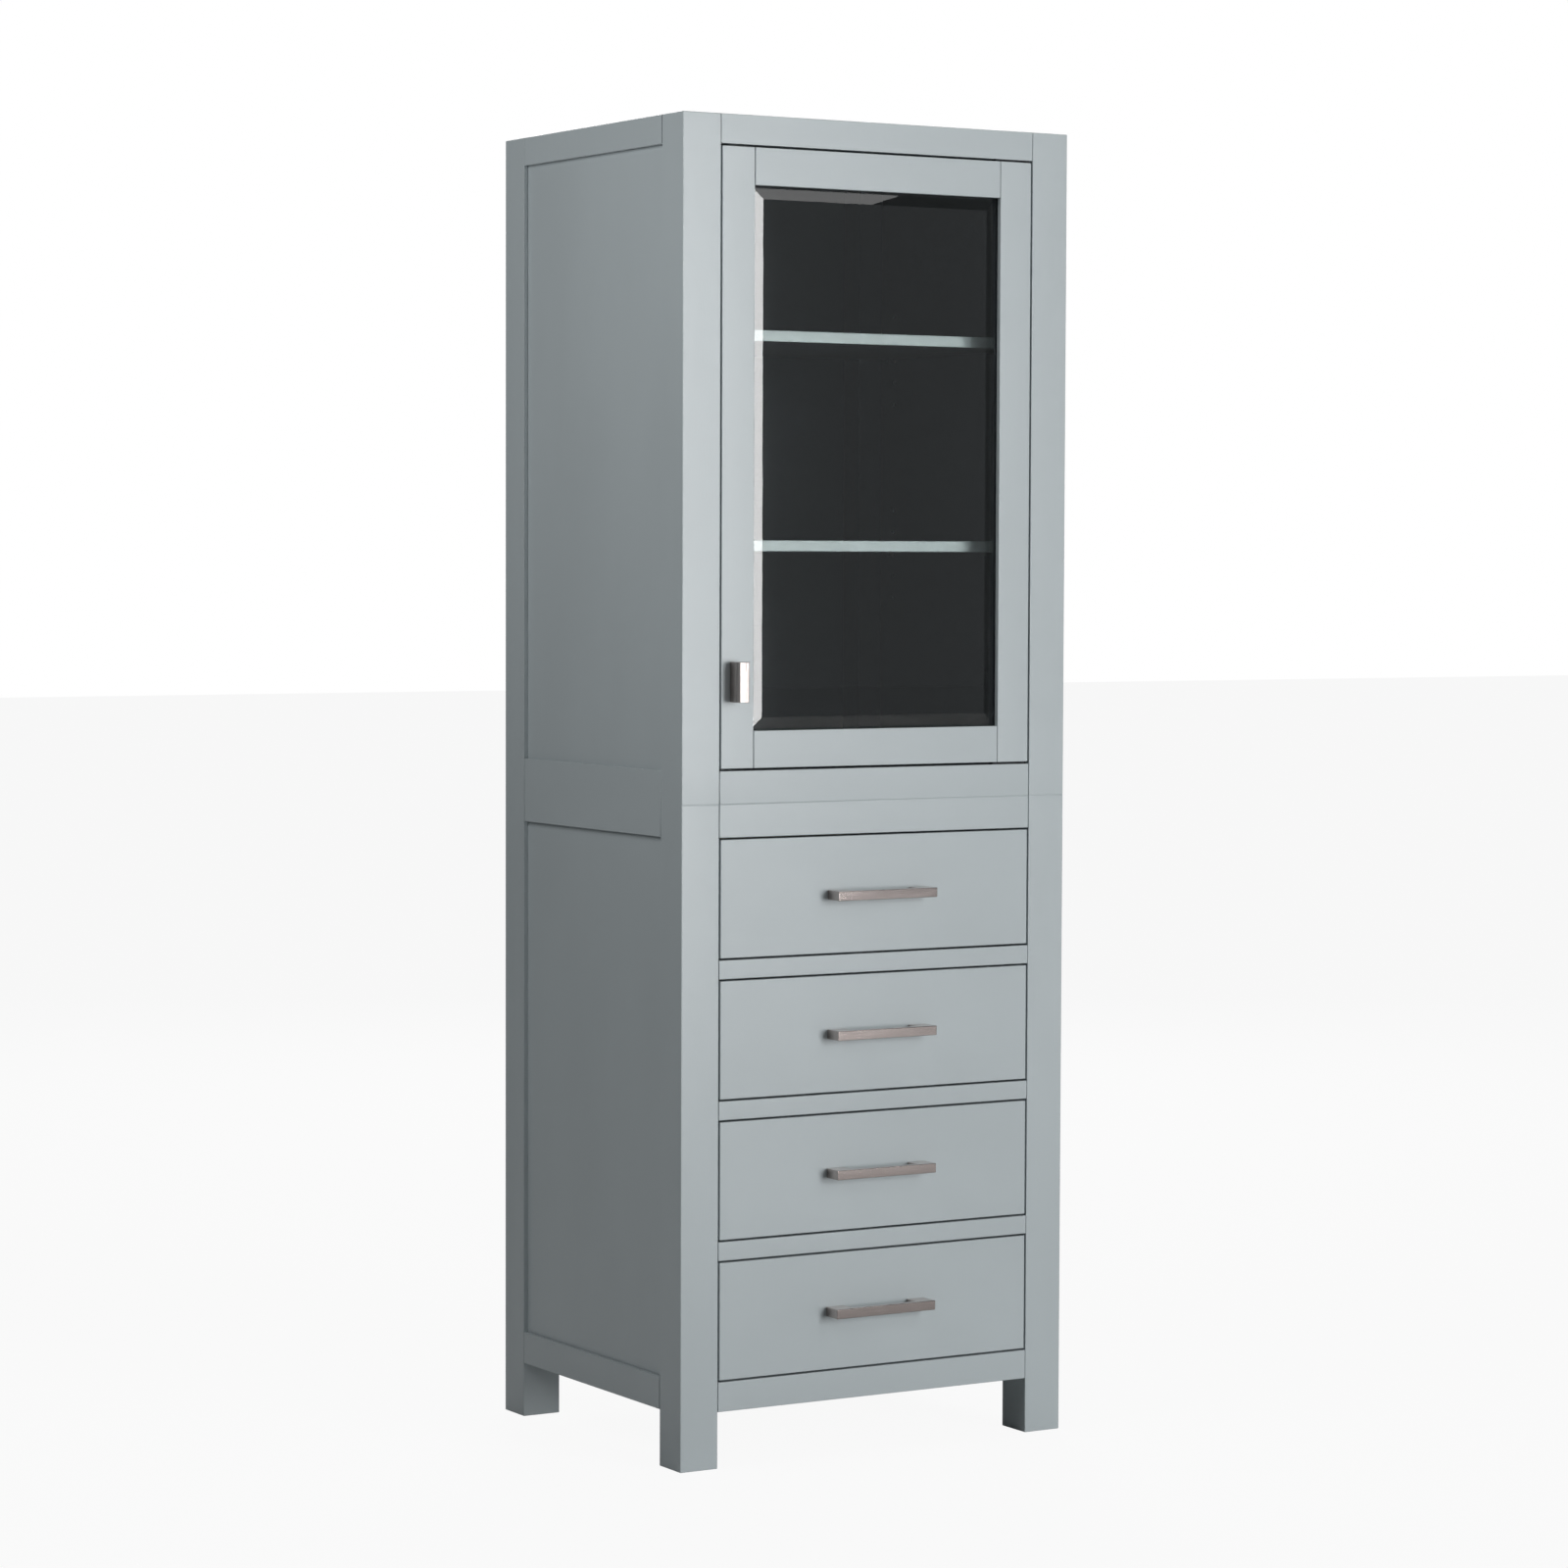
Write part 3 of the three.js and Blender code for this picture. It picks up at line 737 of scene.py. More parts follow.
class CABINET_OT_panels(bpy.types.Operator):
    """Builds the side and back panels and the boards between them"""

    bl_idname = "cabinet.panels"
    bl_label = "Panels and boards"

    def execute(self, context):
        width = context.scene.cabinet_joinery.wood_edge
        for side in SIDES:
            for level in ("upper", "lower"):
                piece = finished_copy(f"side_panel_{level}_{side}", 0)
                if level == "upper":
                    self.drill(piece, context.scene.cabinet_joinery, SIDES[side])
                # Inner faces of the compartment take the charcoal painted shade
                coat(piece, "grey_paint", lacquer("Z"), lacquer("Z", "charcoal"))
                coat_where(piece, 1, lambda centre, normal: is_shaded_inside(centre))
        for name in ("top_panel", "deck_panel", "bottom_panel"):
            piece = finished_copy(name, width / 2)
            # Faces inside the compartment take the charcoal painted shade
            coat(piece, "grey_paint", lacquer("X"), lacquer("X", "charcoal"))
            coat_where(piece, 1, lambda centre, normal: is_shaded_inside(centre))
        for level in ("upper", "lower"):
            piece = finished_copy(f"back_panel_{level}", 0)
            # The upper back panel's inner face takes the charcoal painted shade
            slot = "charcoal_paint" if level == "upper" else "birch"
            coat(piece, slot, birch("Z"), lacquer("Z", "charcoal"))
            coat_where(piece, 1, lambda centre, normal: is_shaded_inside(centre))
        self.add_back_screws()
        return {"FINISHED"}

    def drill(self, piece, settings, side):
        """Makes the shelf pin holes, a few above and below each shelf."""
        hole_depth, overcut = 8 * MM, 2 * MM
        drills = []
        for place in shelf_pin_places(side):
            for step in (-2, -1, 0, 1, 2):
                start = place + Vector((-overcut * side, 0, step * settings.pin_pitch))
                end = start + Vector(((hole_depth + overcut) * side, 0, 0))
                drills.append(add_bar("drill", settings.pin_hole / 2, start, end, vertices=20))
        cut(piece, drills)

    def add_back_screws(self):
        """A row along the top panel's edge and one along the bottom panel's."""
        places = []
        for panel, board in (("upper", "top_panel"), ("lower", "bottom_panel")):
            low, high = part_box(board)
            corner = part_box(f"back_panel_{panel}")[1]
            for share in (-0.8, -0.4, 0, 0.4, 0.8):
                places.append((share * corner.x, corner.y, (low.z + high.z) / 2))
        add_screws("back_panel_screws", "case", "+Y", places)


PIN_GAP = 0.15 * MM  # between a pin and the shelf on it


def shelf_pin_places(side):
    """Where the pins of both shelves meet one side panel's inner face."""
    settings = bpy.context.scene.cabinet_joinery
    places = []
    for shelf in ("shelf_lower", "shelf_upper"):
        low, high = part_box(shelf)
        z = low.z - PIN_GAP - settings.pin_hole / 2
        for y in (low.y + settings.pin_setback, high.y - settings.pin_setback):
            places.append(Vector((side * PANEL_INSIDE, y, z)))
    return places


class CABINET_OT_shelves(bpy.types.Operator):
    """Builds the two shelves and the pins they rest on"""

    bl_idname = "cabinet.shelves"
    bl_label = "Shelves and pins"

    def execute(self, context):
        edge = context.scene.cabinet_joinery.wood_edge
        for node in ("shelf_lower", "shelf_upper"):
            piece = finished_copy(node, edge)
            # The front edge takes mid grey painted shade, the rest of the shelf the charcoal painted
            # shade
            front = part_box(node)[0].y + edge + SHADE_PAINT_SLACK
            coat(piece, "grey_paint", lacquer("X", "mid_grey"), lacquer("X", "charcoal"))
            coat_where(piece, 1, lambda centre, normal, front=front: centre.y > front)
        for name, side in SIDES.items():
            pins = [self.add_pin(place, side) for place in shelf_pin_places(side)]
            group = joined(f"shelf_pins_{name}", pins)
            coat(group, "brushed_nickel", brushed_nickel("X"))
            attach(group, "case")
        return {"FINISHED"}

    def add_pin(self, place, side):
        """A bent-spoon pin: a peg in the panel, a collar against it and a tongue under the shelf."""
        air = 0.1 * MM  # round the peg and behind the collar
        in_panel, in_case, collar_face = 7 * MM, 9 * MM, 1.3 * MM
        tongue_length, tongue_half, tongue_thickness = 12 * MM, 5 * MM, 1.2 * MM
        radius = bpy.context.scene.cabinet_joinery.pin_hole / 2 - air
        inward = Vector((-side, 0, 0))
        peg = add_bar("peg", radius, place - in_panel * inward, place + in_case * inward)
        collar = add_bar("collar", 1.7 * radius, place + air * inward, place + collar_face * inward)
        start_editing(collar)
        select_where(collar, "FACE", lambda face: abs(face.normal.x) > 0.9)
        bpy.ops.mesh.bevel(offset=0.3 * MM, segments=2, affect="EDGES", clamp_overlap=False)
        stop_editing()
        corners = [
            place + collar_face * inward + Vector((0, -tongue_half, radius - tongue_thickness)),
            place + tongue_length * inward + Vector((0, tongue_half, radius)),
        ]
        low = Vector(map(min, *corners))
        high = Vector(map(max, *corners))
        tongue = add_block("tongue", low, high)
        ease_edges(tongue, 0.3 * MM, least_area=5 * MM**2, least_length=1 * MM)
        return joined("shelf_pin", [shaded(peg), shaded(collar), tongue])


# ---- The door ----


class CABINET_OT_door(bpy.types.Operator):
    """Builds the door's frame, its bevelled pane and the bead that holds it"""

    bl_idname = "cabinet.door"
    bl_label = "Door"

    def execute(self, context):
        width = context.scene.cabinet_joinery.wood_edge
        for node, axis in (
            ("door_stile_latch", "Z"), ("door_stile_hinge", "Z"),
            ("door_rail_top", "X"), ("door_rail_bottom", "X"),
        ):
            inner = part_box("door_stile_hinge")[0]
            ends = (0, (-inner.x, inner.x), 1, inner.y) if "rail" in node else None
            coat(finished_copy(node, width, grooves=ends), "grey_paint", lacquer(axis))
        pane = finished_copy("door_glass", 0)
        coat(pane, "bevelled_glass", plate_glass())
        pane.visible_shadow = False  # lets direct light through to the shelves
        self.add_bead(context.scene.cabinet_joinery)
        return {"FINISHED"}

    def add_bead(self, settings):
        """Four strips mitred at the corners: a flat ring, split at its mitres and thickened."""
        low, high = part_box("door_glass_bead")
        deselect_all()
        centre = (low + high) / 2
        bpy.ops.mesh.primitive_plane_add(
            size=1, location=(centre.x, low.y, centre.z), rotation=(math.pi / 2, 0, 0),
        )
        bead = bpy.context.object
        bead.scale = (high.x - low.x, high.z - low.z, 1)
        bpy.ops.object.transform_apply(location=True, rotation=True, scale=True)
        start_editing(bead)
        bpy.ops.mesh.inset(thickness=settings.bead_width, depth=0)
        bpy.ops.mesh.delete(type="FACE")

        def is_mitre(edge):
            along = edge.verts[0].co - edge.verts[1].co
            return min(abs(along.x), abs(along.z)) > MM

        select_where(bead, "EDGE", is_mitre)
        bpy.ops.mesh.edge_split(type="EDGE")
        bpy.ops.mesh.select_all(action="SELECT")
        bpy.ops.mesh.extrude_region_move(
            TRANSFORM_OT_translate={"value": (0, high.y - low.y, 0)}
        )
        bpy.ops.mesh.select_all(action="SELECT")
        bpy.ops.mesh.normals_make_consistent(inside=False)
        stop_editing()
        bead.name = bead.data.name = "door_bead_strips"
        ease_edges(bead, settings.wood_edge, least_area=20 * MM**2)
        # Charcoal painted shade: the bead behind the pane is darkened for the shade it stands in
        coat(bead, "grey_paint", lacquer("Z", "charcoal"))
        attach(bead, "door")
        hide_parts("door_glass_bead")


class CABINET_OT_door_hardware(bpy.types.Operator):
    """Builds the knob, the pivot hinges and the magnetic catch"""

    bl_idname = "cabinet.door_hardware"
    bl_label = "Knob, hinges and catch"

    def execute(self, context):
        hardware = context.scene.cabinet_hardware
        self.add_knob(hardware)
        for end, case_facing, door_facing in (("bottom", "+Z", "-Z"), ("top", "-Z", "+Z")):
            self.add_leaf(f"case_hinge_leaf_{end}", "case", case_facing)
            self.add_leaf(f"door_hinge_leaf_{end}", "door", door_facing)
        self.add_catch()
        return {"FINISHED"}

    def add_knob(self, hardware):
        """A solid block with a narrower foot, so that a shadow line parts it from the door."""
        low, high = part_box("door_knob")
        foot = 2 * MM
        knob = add_block("door_block_knob", low, (high.x, high.y - foot, high.z))
        start_editing(knob)
        select_where(knob, "FACE", lambda face: face.normal.y > 0.9)
        bpy.ops.mesh.inset(thickness=1.2 * MM, depth=0)
        bpy.ops.mesh.extrude_region_move(TRANSFORM_OT_translate={"value": (0, foot, 0)})
        stop_editing()
        ease_edges(knob, hardware.metal_edge, 3, least_area=200 * MM**2)
        coat(knob, "brushed_nickel", brushed_nickel("Z"))
        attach(knob, "door")
        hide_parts("door_knob")
        centre = (low + high) / 2
        add_screws("knob_screw", "door", "+Y", [(centre.x, DOOR_BACK, centre.z)])

    def add_leaf(self, node, body, facing):
        """A hinge leaf with two countersunk holes and the screws in them."""
        low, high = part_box(node)
        leaf = finished_copy(node, 0.2 * MM, least_area=15 * MM**2)
        outward = 1 if facing == "+Z" else -1
        thickness, sink, head_sink, overcut = 2 * MM, 1.2 * MM, 2.1 * MM, 1 * MM
        surface = low.z + thickness if outward > 0 else high.z - thickness
        hole = bpy.context.scene.cabinet_hardware.screw_head / 2 + 0.2 * MM
        y = (low.y + high.y) / 2
        drills, places = [], []
        for share in (0.2, 0.6):
            x = low.x + share * (high.x - low.x)
            ends = [(x, y, surface + outward * rise) for rise in (-sink, overcut)]
            drills.append(add_bar("drill", hole, *ends))
            places.append((x, y, surface - outward * head_sink))
        cut(leaf, drills)
        coat(leaf, "zinc_steel", zinc_plate(black=True))
        add_screws(f"{node}_screws", body, facing, places)

    def add_catch(self):
        """The catch's housing and pole plates, and the strike plate on the door."""
        housing = finished_copy("door_catch", 1.0 * MM, segments=3)
        coat(housing, "black_plastic", moulded_plastic("black_acetal", "#1d1e20"))
        low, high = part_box("door_catch")
        middle = (low.x + high.x) / 2
        spacing, half, proud, sunk = 9 * MM, 6 * MM, 0.9 * MM, 6 * MM
        rise, thickness, pitch = 3 * MM, 2 * MM, 4 * MM
        plates = []
        for side in SIDES.values():
            x = middle + side * spacing
            plate = add_block(
                "pole", (x - half, low.y - proud, low.z + rise),
                (x + half, low.y + sunk, low.z + rise + thickness),
            )
            plates.append(ease_edges(plate, 0.2 * MM, least_area=MM**2, least_length=MM))
            plates.append(copied(plate, "pole", (0, 0, pitch)))
        poles = joined("catch_pole_plates", plates)
        coat(poles, "zinc_steel", zinc_plate(black=True))
        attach(poles, "case")
        strike_half, air, face = 18 * MM, 0.05 * MM, 1.1 * MM
        strike_foot, strike_top = low.z + 0.5 * MM, low.z + 11 * MM
        strike = add_block(
            "door_strike_plate", (middle - strike_half, DOOR_BACK + air, strike_foot),
            (middle + strike_half, DOOR_BACK + face, strike_top),
        )
        ease_edges(strike, 0.3 * MM, least_area=5 * MM**2)
        coat(strike, "zinc_steel", zinc_plate())
        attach(strike, "door")


# ---- The drawers ----


def drawer_shift(drawer):
    """How far a drawer lies from the first one."""
    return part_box(f"{drawer}_box")[0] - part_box(f"{DRAWERS[0]}_box")[0]


def share_out(pieces, suffix, ride_with=None, replaced=None):
    """Copies the first drawer's pieces to the other drawers, each riding on its own body."""
    for drawer in DRAWERS:
        for part, piece in pieces.items():
            name = f"{drawer}_{part}{suffix}"
            if drawer == DRAWERS[0]:
                piece.name = piece.data.name = name
                copy = piece
            else:
                copy = copied(piece, name, drawer_shift(drawer))
            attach(copy, ride_with or drawer)
            if replaced:
                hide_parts(f"{drawer}_{replaced}")


class CABINET_OT_drawer_fronts(bpy.types.Operator):
    """Builds the drawers' fronts and pulls"""

    bl_idname = "cabinet.drawer_fronts"
    bl_label = "Drawer fronts and pulls"

    def execute(self, context):
        hardware = context.scene.cabinet_hardware
        for drawer in DRAWERS:
            front = finished_copy(f"{drawer}_front", context.scene.cabinet_joinery.wood_edge)
            coat(front, "grey_paint", lacquer("X"))
        share_out({"bar": self.add_pull(hardware)}, "_pull", replaced="pull")
        return {"FINISHED"}

    def add_pull(self, hardware):
        """A flat bar whose ends are drawn back as legs, to the drawer's front."""
        low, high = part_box(f"{DRAWERS[0]}_pull")
        bar = hardware.handle_bar
        pull = add_block("pull", low, (high.x, low.y + bar, high.z))
        start_editing(pull)
        inner = high.x - hardware.handle_leg
        for x in (-inner, inner):
            bpy.ops.mesh.select_all(action="SELECT")
            bpy.ops.mesh.bisect(plane_co=(x, 0, 0), plane_no=(1, 0, 0))

        def is_leg_root(face):
            return face.normal.y > 0.9 and abs(face.calc_center_median().x) > inner

        select_where(pull, "FACE", is_leg_root)
        reach = high.y - low.y - bar
        bpy.ops.mesh.extrude_region_move(TRANSFORM_OT_translate={"value": (0, reach, 0)})
        stop_editing()
        start_editing(pull)
        bpy.ops.mesh.dissolve_limited(angle_limit=math.radians(1))
        stop_editing()
        ease_edges(pull, hardware.metal_edge, 3, least_area=90 * MM**2, least_length=4 * MM)
        return coat(pull, "brushed_nickel", brushed_nickel("X"))


class CABINET_OT_drawer_boxes(bpy.types.Operator):
    """Builds the dovetailed drawer boxes and the screws that hold their fronts"""

    bl_idname = "cabinet.drawer_boxes"
    bl_label = "Drawer boxes"

    def execute(self, context):
        settings = context.scene.cabinet_joinery
        low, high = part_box(f"{DRAWERS[0]}_box")
        floor_low = low.z + settings.floor_rise
        floor_high = floor_low + settings.floor_thickness
        board = settings.board
        corners = {
            "front": (low.y, low.y + board, low.z),
            "back": (high.y, high.y - board, floor_high),
        }
        boards = {}
        for name, (outer, inner, bottom) in corners.items():
            y = sorted((outer, inner))
            piece = add_block(name, (low.x, y[0], bottom), (high.x, y[1], high.z))
            tails = self.wedges(settings, outer, inner, bottom, high.z, tails=True)
            boards[name] = cut(piece, tails)
        for name, side in SIDES.items():
            x = sorted((side * high.x, side * (high.x - board)))
            piece = add_block(name, (x[0], low.y, low.z), (x[1], high.y, high.z))
            sockets = []
            for outer, inner, bottom in corners.values():
                sockets += self.wedges(settings, outer, inner, bottom, high.z, tails=False)
            boards[f"{name}_side"] = cut(piece, sockets)
        inset = board - settings.floor_groove
        boards["bottom"] = add_block(
            "bottom", (low.x + inset, low.y + inset, floor_low),
            (high.x - inset, high.y, floor_high),
        )
        for name in ("front", "left_side", "right_side"):
            cut(boards[name], [copied(boards["bottom"], "groove")])
        self.dress(boards)
        share_out(boards, "_board", replaced="box")
        self.add_front_screws(low.y + board)
        return {"FINISHED"}

    def wedges(self, settings, outer, inner, bottom, top, tails):
        """Cutters across the box at one corner: the tails, or the pins between them."""
        glue_line, fit, overcut, past_end = 0.12 * MM, 0.05 * MM, 0.5 * MM, 1 * MM
        pitch = (top - bottom) / settings.tails
        flare = 2 * settings.board * settings.dovetail_slope
        half_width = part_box(f"{DRAWERS[0]}_box")[1].x
        if tails:
            centres = [bottom + (i + 0.5) * pitch for i in range(settings.tails)]
            at_outer = pitch - settings.pin_width + glue_line
            at_inner = at_outer - flare
        else:
            centres = [bottom + i * pitch for i in range(settings.tails + 1)]
            at_outer = settings.pin_width + glue_line
            at_inner = at_outer + flare
        outward = 1 if outer > inner else -1
        y = sorted((outer + outward * overcut, inner - outward * fit))

        def is_inner_end(face):
            return face.normal.y * -outward > 0.9

        cutters = []
        for side in SIDES.values():
            x = sorted((side * (half_width - settings.board - fit), side * (half_width + past_end)))
            for z in centres:
                half = at_outer / 2
                wedge = add_block("wedge", (x[0], y[0], z - half), (x[1], y[1], z + half))
                start_editing(wedge)
                select_where(wedge, "FACE", is_inner_end)
                bpy.ops.transform.resize(
                    value=(1, 1, at_inner / at_outer), center_override=(x[0], inner, z),
                )
                stop_editing()
                cutters.append(wedge)
        return cutters

    def dress(self, boards):
        """Long grain on the boards' faces and end grain where they were sawn across."""
        grain = {"front": "X", "back": "X", "left_side": "Y", "right_side": "Y", "bottom": "X"}
        for name, piece in boards.items():
            axis = grain[name]
            index = "XYZ".index(axis)
            ease_edges(piece, 0.4 * MM, 2, least_area=600 * MM**2, least_length=60 * MM)
            coat(piece, "birch", birch(axis), birch(axis, end_grain=True))
            coat_where(piece, 1, lambda centre, normal, index=index: abs(normal[index]) > 0.6)

    def add_front_screws(self, y):
        """Two screws for the pull and four for the front, inside each box."""
        pull_low, pull_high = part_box(f"{DRAWERS[0]}_pull")
        leg = pull_high.x - bpy.context.scene.cabinet_hardware.handle_leg / 2
        centre = (pull_low.z + pull_high.z) / 2
        corner_x, corner_rise = 190 * MM, 28 * MM
        places = [(side * leg, y, centre) for side in SIDES.values()]
        for side in SIDES.values():
            places += [(side * corner_x, y, centre + rise) for rise in (-corner_rise, corner_rise)]
        for drawer in DRAWERS:
            shift = drawer_shift(drawer)
            moved = [Vector(place) + shift for place in places]
            add_screws(f"{drawer}_front_screws", drawer, "+Y", moved)


class CABINET_OT_slides(bpy.types.Operator):
    """Builds the centre slides with their rollers, sockets and screws"""

    bl_idname = "cabinet.slides"
    bl_label = "Drawer slides"

    def execute(self, context):
        radius = context.scene.cabinet_hardware.roller / 2
        rear_setback, front_setback, screw_setback = 10 * MM, 22 * MM, 8 * MM
        rear_rise, front_drop, web = 2 * MM, 1.8 * MM, 1.5 * MM  # over and under the steel
        for drawer in DRAWERS:
            for part in ("track", "runner"):
                piece = finished_copy(f"{drawer}_{part}", 0.3 * MM, least_area=300 * MM**2)
                coat(piece, "zinc_steel", zinc_plate())
        track_low, track_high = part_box(f"{DRAWERS[0]}_track")
        runner_low, runner_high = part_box(f"{DRAWERS[0]}_runner")
        socket = {"slide": self.add_socket(track_low, track_high)}
        share_out(socket, "_rear_socket", ride_with="case")
        rear = Vector((0, runner_high.y - rear_setback, track_low.z + rear_rise + radius))
        rear_roller = {"rear": self.add_roller(rear, radius)}
        share_out(rear_roller, "_roller")
        front = Vector((0, track_low.y + front_setback, runner_high.z - front_drop - radius))
        front_roller = {"front": self.add_roller(front, radius)}
        share_out(front_roller, "_roller", ride_with="case")
        screw = Vector((0, track_low.y + screw_setback, track_low.z + web))
        for drawer in DRAWERS:
            place = screw + drawer_shift(drawer)
            add_screws(f"{drawer}_track_screw", "case", "+Z", [place])
        return {"FINISHED"}

    def add_socket(self, track_low, track_high):
        """A plastic saddle over the rear end of the track, against the back panel."""
        wall, length, roof, slack, overcut = 7 * MM, 16 * MM, 5 * MM, 0.2 * MM, 1 * MM
        low = Vector((track_low.x - wall, track_high.y - length, track_low.z))
        high = Vector((track_high.x + wall, track_high.y, track_high.z + roof))
        saddle = add_block("socket", low, high)
        passage = add_block(
            "passage", (track_low.x - slack, low.y - overcut, low.z - overcut),
            (track_high.x + slack, high.y + overcut, track_high.z + slack),
        )
        cut(saddle, [passage])
        ease_edges(saddle, 0.8 * MM, least_area=30 * MM**2, least_length=2 * MM)
        return coat(saddle, "black_plastic", moulded_plastic("black_acetal", "#1d1e20"))

    def add_roller(self, centre, radius):
        """A nylon wheel with a sunk middle on each face."""
        half = Vector((3 * MM, 0, 0))
        wheel = add_bar("wheel", radius, centre - half, centre + half, vertices=32)
        start_editing(wheel)
        select_where(wheel, "FACE", lambda face: abs(face.normal.x) > 0.9)
        bpy.ops.mesh.bevel(offset=0.6 * MM, segments=2, affect="EDGES", clamp_overlap=False)
        select_where(
            wheel, "FACE",
            lambda face: abs(face.normal.x) > 0.9 and face.calc_area() > 20 * MM**2,
        )
        bpy.ops.mesh.inset(thickness=1.6 * MM, depth=-0.8 * MM, use_individual=True)
        stop_editing()
        shaded(wheel, SMALL_SHARP_ANGLE)
        coat(wheel, "black_plastic", moulded_plastic("white_nylon", "#e4e2da"))
        return wheel


# ---- The stage ----


# Each one's power setting, its width and height, place and target in metres, and roll in degrees.
SOFTBOXES = {
    "key_softbox": ("key_power", (1.9, 3.0), (1.9, -6.5, 1.45), (-0.1, -0.24, 1.3), 0),
    "grey_flat": ("flat_power", (2.6, 2.8), (3.95, -6.1, 1.4), (0, -0.24, 1.3), 0),
    "upper_softbox": ("upper_power", (2.4, 1.0), (1.4, -3.64, 3.1), (0, -0.24, 1.2), 14),
    "side_softbox": ("side_power", (0.8, 1.2), (-1.75, -0.35, 2.1), (-0.3, -0.1, 1.2), 0),
    "rear_softbox": ("rear_power", (2.2, 2.2), (2.4, 4.2, 3.0), (0.1, 0, 1.1), 0),
}


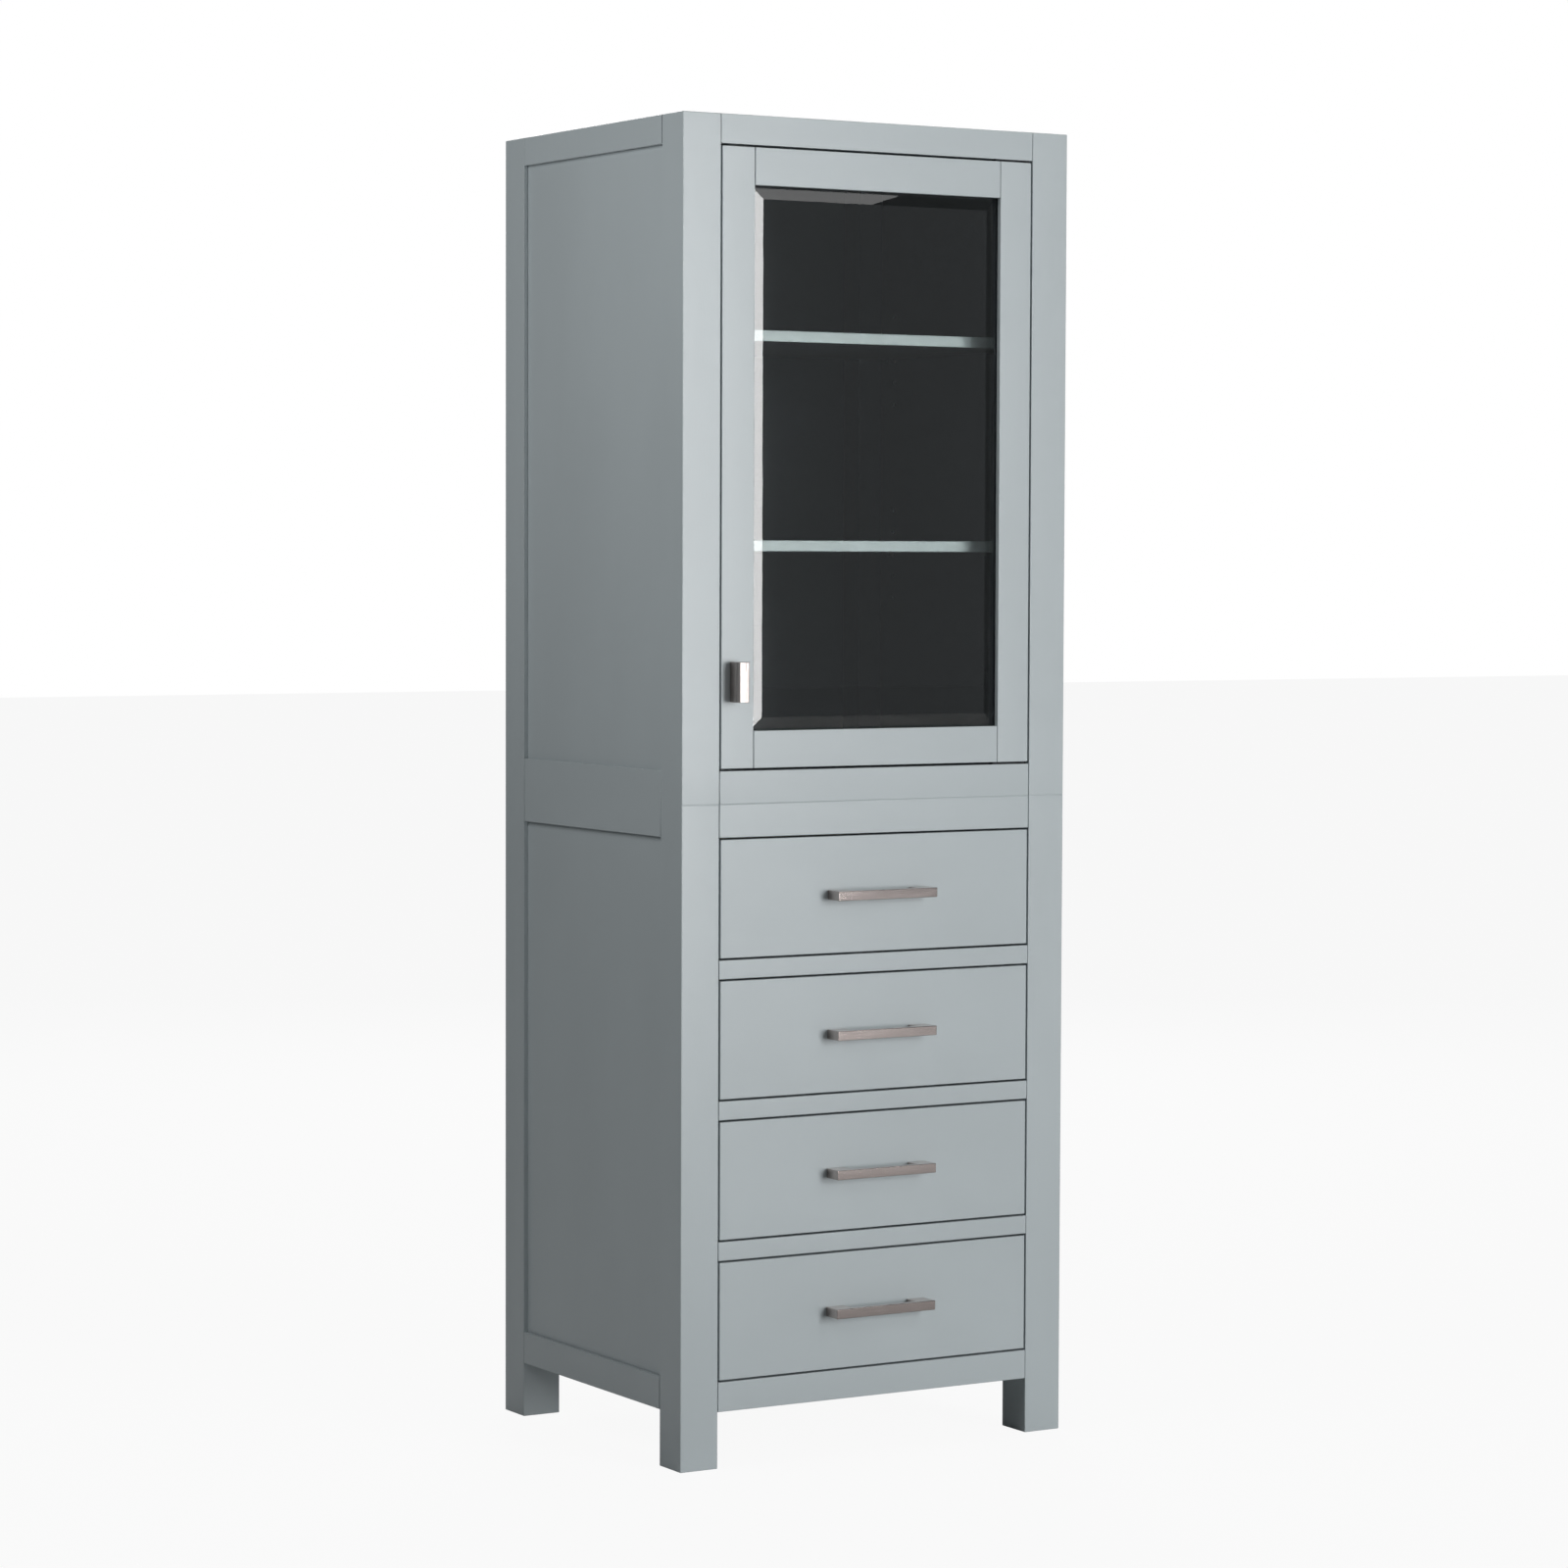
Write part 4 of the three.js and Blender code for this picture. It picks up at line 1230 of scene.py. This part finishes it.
class CABINET_OT_stage(bpy.types.Operator):
    """Builds the floor, the studio light and the camera"""

    bl_idname = "cabinet.stage"
    bl_label = "Stage"

    def execute(self, context):
        settings = context.scene.cabinet_stage
        self.add_floor(settings)
        self.add_world(context.scene)
        for name, (power, size, place, target, roll) in SOFTBOXES.items():
            softbox = self.add_softbox(name, getattr(settings, power), size)
            self.aim(softbox, place, target, math.radians(roll))
            if name == "grey_flat":
                softbox.data.color = srgb("#f0f5fa")
        self.add_camera(context.scene, settings)
        context.scene.view_settings.view_transform = "Standard"
        return {"FINISHED"}

    def add_floor(self, settings):
        deselect_all()
        bpy.ops.mesh.primitive_plane_add(size=60)
        floor = bpy.context.object
        floor.name = "studio_floor"
        floor.data.materials.append(self.paper(settings))

    def paper(self, settings):
        """Matt white paper that looks evenly lit to the camera, so it runs into the background."""
        material, tree, shader = new_material("matt_white_paper")
        shader.inputs["Base Color"].default_value = (*settings.floor, 1)
        shader.inputs["Roughness"].default_value = 0.9
        glow = add_node(tree, "ShaderNodeEmission", {"Color": (1, 1, 1, 1), "Strength": 1.0})
        to_camera = add_node(tree, "ShaderNodeLightPath").outputs["Is Camera Ray"]
        share = add_node(
            tree, "ShaderNodeMath", {0: to_camera, 1: settings.floor_glow}, operation="MULTIPLY",
        )
        mixed = add_node(tree, "ShaderNodeMixShader", {"Fac": share.outputs[0]})
        tree.links.new(shader.outputs[0], mixed.inputs[1])
        tree.links.new(glow.outputs[0], mixed.inputs[2])
        surface = next(n for n in tree.nodes if n.type == "OUTPUT_MATERIAL").inputs["Surface"]
        tree.links.new(mixed.outputs[0], surface)
        return material

    def add_world(self, scene):
        """White beyond the floor, and a dimmer, even light from all round the studio."""
        world = bpy.data.worlds.new("studio")
        world.use_nodes = True
        tree = world.node_tree
        tree.nodes.clear()
        seen = add_node(tree, "ShaderNodeBackground", {"Color": (1, 1, 1, 1), "Strength": 1.0})
        tone = (*srgb("#e9edf0"), 1)
        light = add_node(tree, "ShaderNodeBackground", {"Color": tone, "Strength": 0.05})
        to_camera = add_node(tree, "ShaderNodeLightPath").outputs["Is Camera Ray"]
        mixed = add_node(tree, "ShaderNodeMixShader", {"Fac": to_camera})
        tree.links.new(light.outputs[0], mixed.inputs[1])
        tree.links.new(seen.outputs[0], mixed.inputs[2])
        add_node(tree, "ShaderNodeOutputWorld", {"Surface": mixed.outputs[0]})
        scene.world = world

    def add_softbox(self, name, power, size):
        light = bpy.data.lights.new(name, "AREA")
        light.shape = "RECTANGLE"
        light.size, light.size_y = size
        light.energy = power
        softbox = bpy.data.objects.new(name, light)
        bpy.context.scene.collection.objects.link(softbox)
        return softbox

    def aim(self, thing, place, target, roll):
        thing.location = place
        direction = Vector(target) - Vector(place)
        turn = direction.to_track_quat("-Z", "Y").to_matrix() @ Matrix.Rotation(roll, 3, "Z")
        thing.rotation_euler = turn.to_euler()

    def add_camera(self, scene, settings):
        heading, pitch, roll = settings.camera_turn
        camera = bpy.data.objects.new("camera", bpy.data.cameras.new("camera"))
        scene.collection.objects.link(camera)
        turn = (
            Matrix.Rotation(-heading, 3, "Z")
            @ Matrix.Rotation(math.pi / 2 + pitch, 3, "X")
            @ Matrix.Rotation(roll, 3, "Z")
        )
        camera.location = settings.camera_place
        camera.rotation_euler = turn.to_euler()
        camera.data.lens = settings.lens
        scene.camera = camera


class CABINET_PT_panel(bpy.types.Panel):
    """Lists the steps that build the cabinet"""

    bl_idname = "CABINET_PT_panel"
    bl_label = "Pantry Cabinet"
    bl_space_type = "VIEW_3D"
    bl_region_type = "UI"
    bl_category = "Cabinet"

    def draw(self, context):
        for operator in OPERATORS:
            self.layout.operator(operator.bl_idname)
        for name in SETTINGS:
            group = getattr(context.scene, name)
            column = self.layout.column(heading=name.replace("_", " ").title())
            for key in type(group).__annotations__:
                column.prop(group, key)


OPERATORS = (
    CABINET_OT_frame,
    CABINET_OT_panels,
    CABINET_OT_shelves,
    CABINET_OT_door,
    CABINET_OT_door_hardware,
    CABINET_OT_drawer_fronts,
    CABINET_OT_drawer_boxes,
    CABINET_OT_slides,
    CABINET_OT_stage,
)
SETTINGS = {
    "cabinet_finish": CabinetFinishSettings,
    "cabinet_joinery": CabinetJoinerySettings,
    "cabinet_hardware": CabinetHardwareSettings,
    "cabinet_stage": CabinetStageSettings,
}


def register():
    for made in (*SETTINGS.values(), *OPERATORS, CABINET_PT_panel):
        bpy.utils.register_class(made)
    for name, group in SETTINGS.items():
        setattr(bpy.types.Scene, name, PointerProperty(type=group))


def unregister():
    for name in SETTINGS:
        delattr(bpy.types.Scene, name)
    for made in (CABINET_PT_panel, *reversed(OPERATORS), *reversed(list(SETTINGS.values()))):
        bpy.utils.unregister_class(made)


def main():
    register()
    deselect_all()
    for operator in OPERATORS:
        group, name = operator.bl_idname.split(".")
        getattr(getattr(bpy.ops, group), name)()


if __name__ == "__main__":
    main()
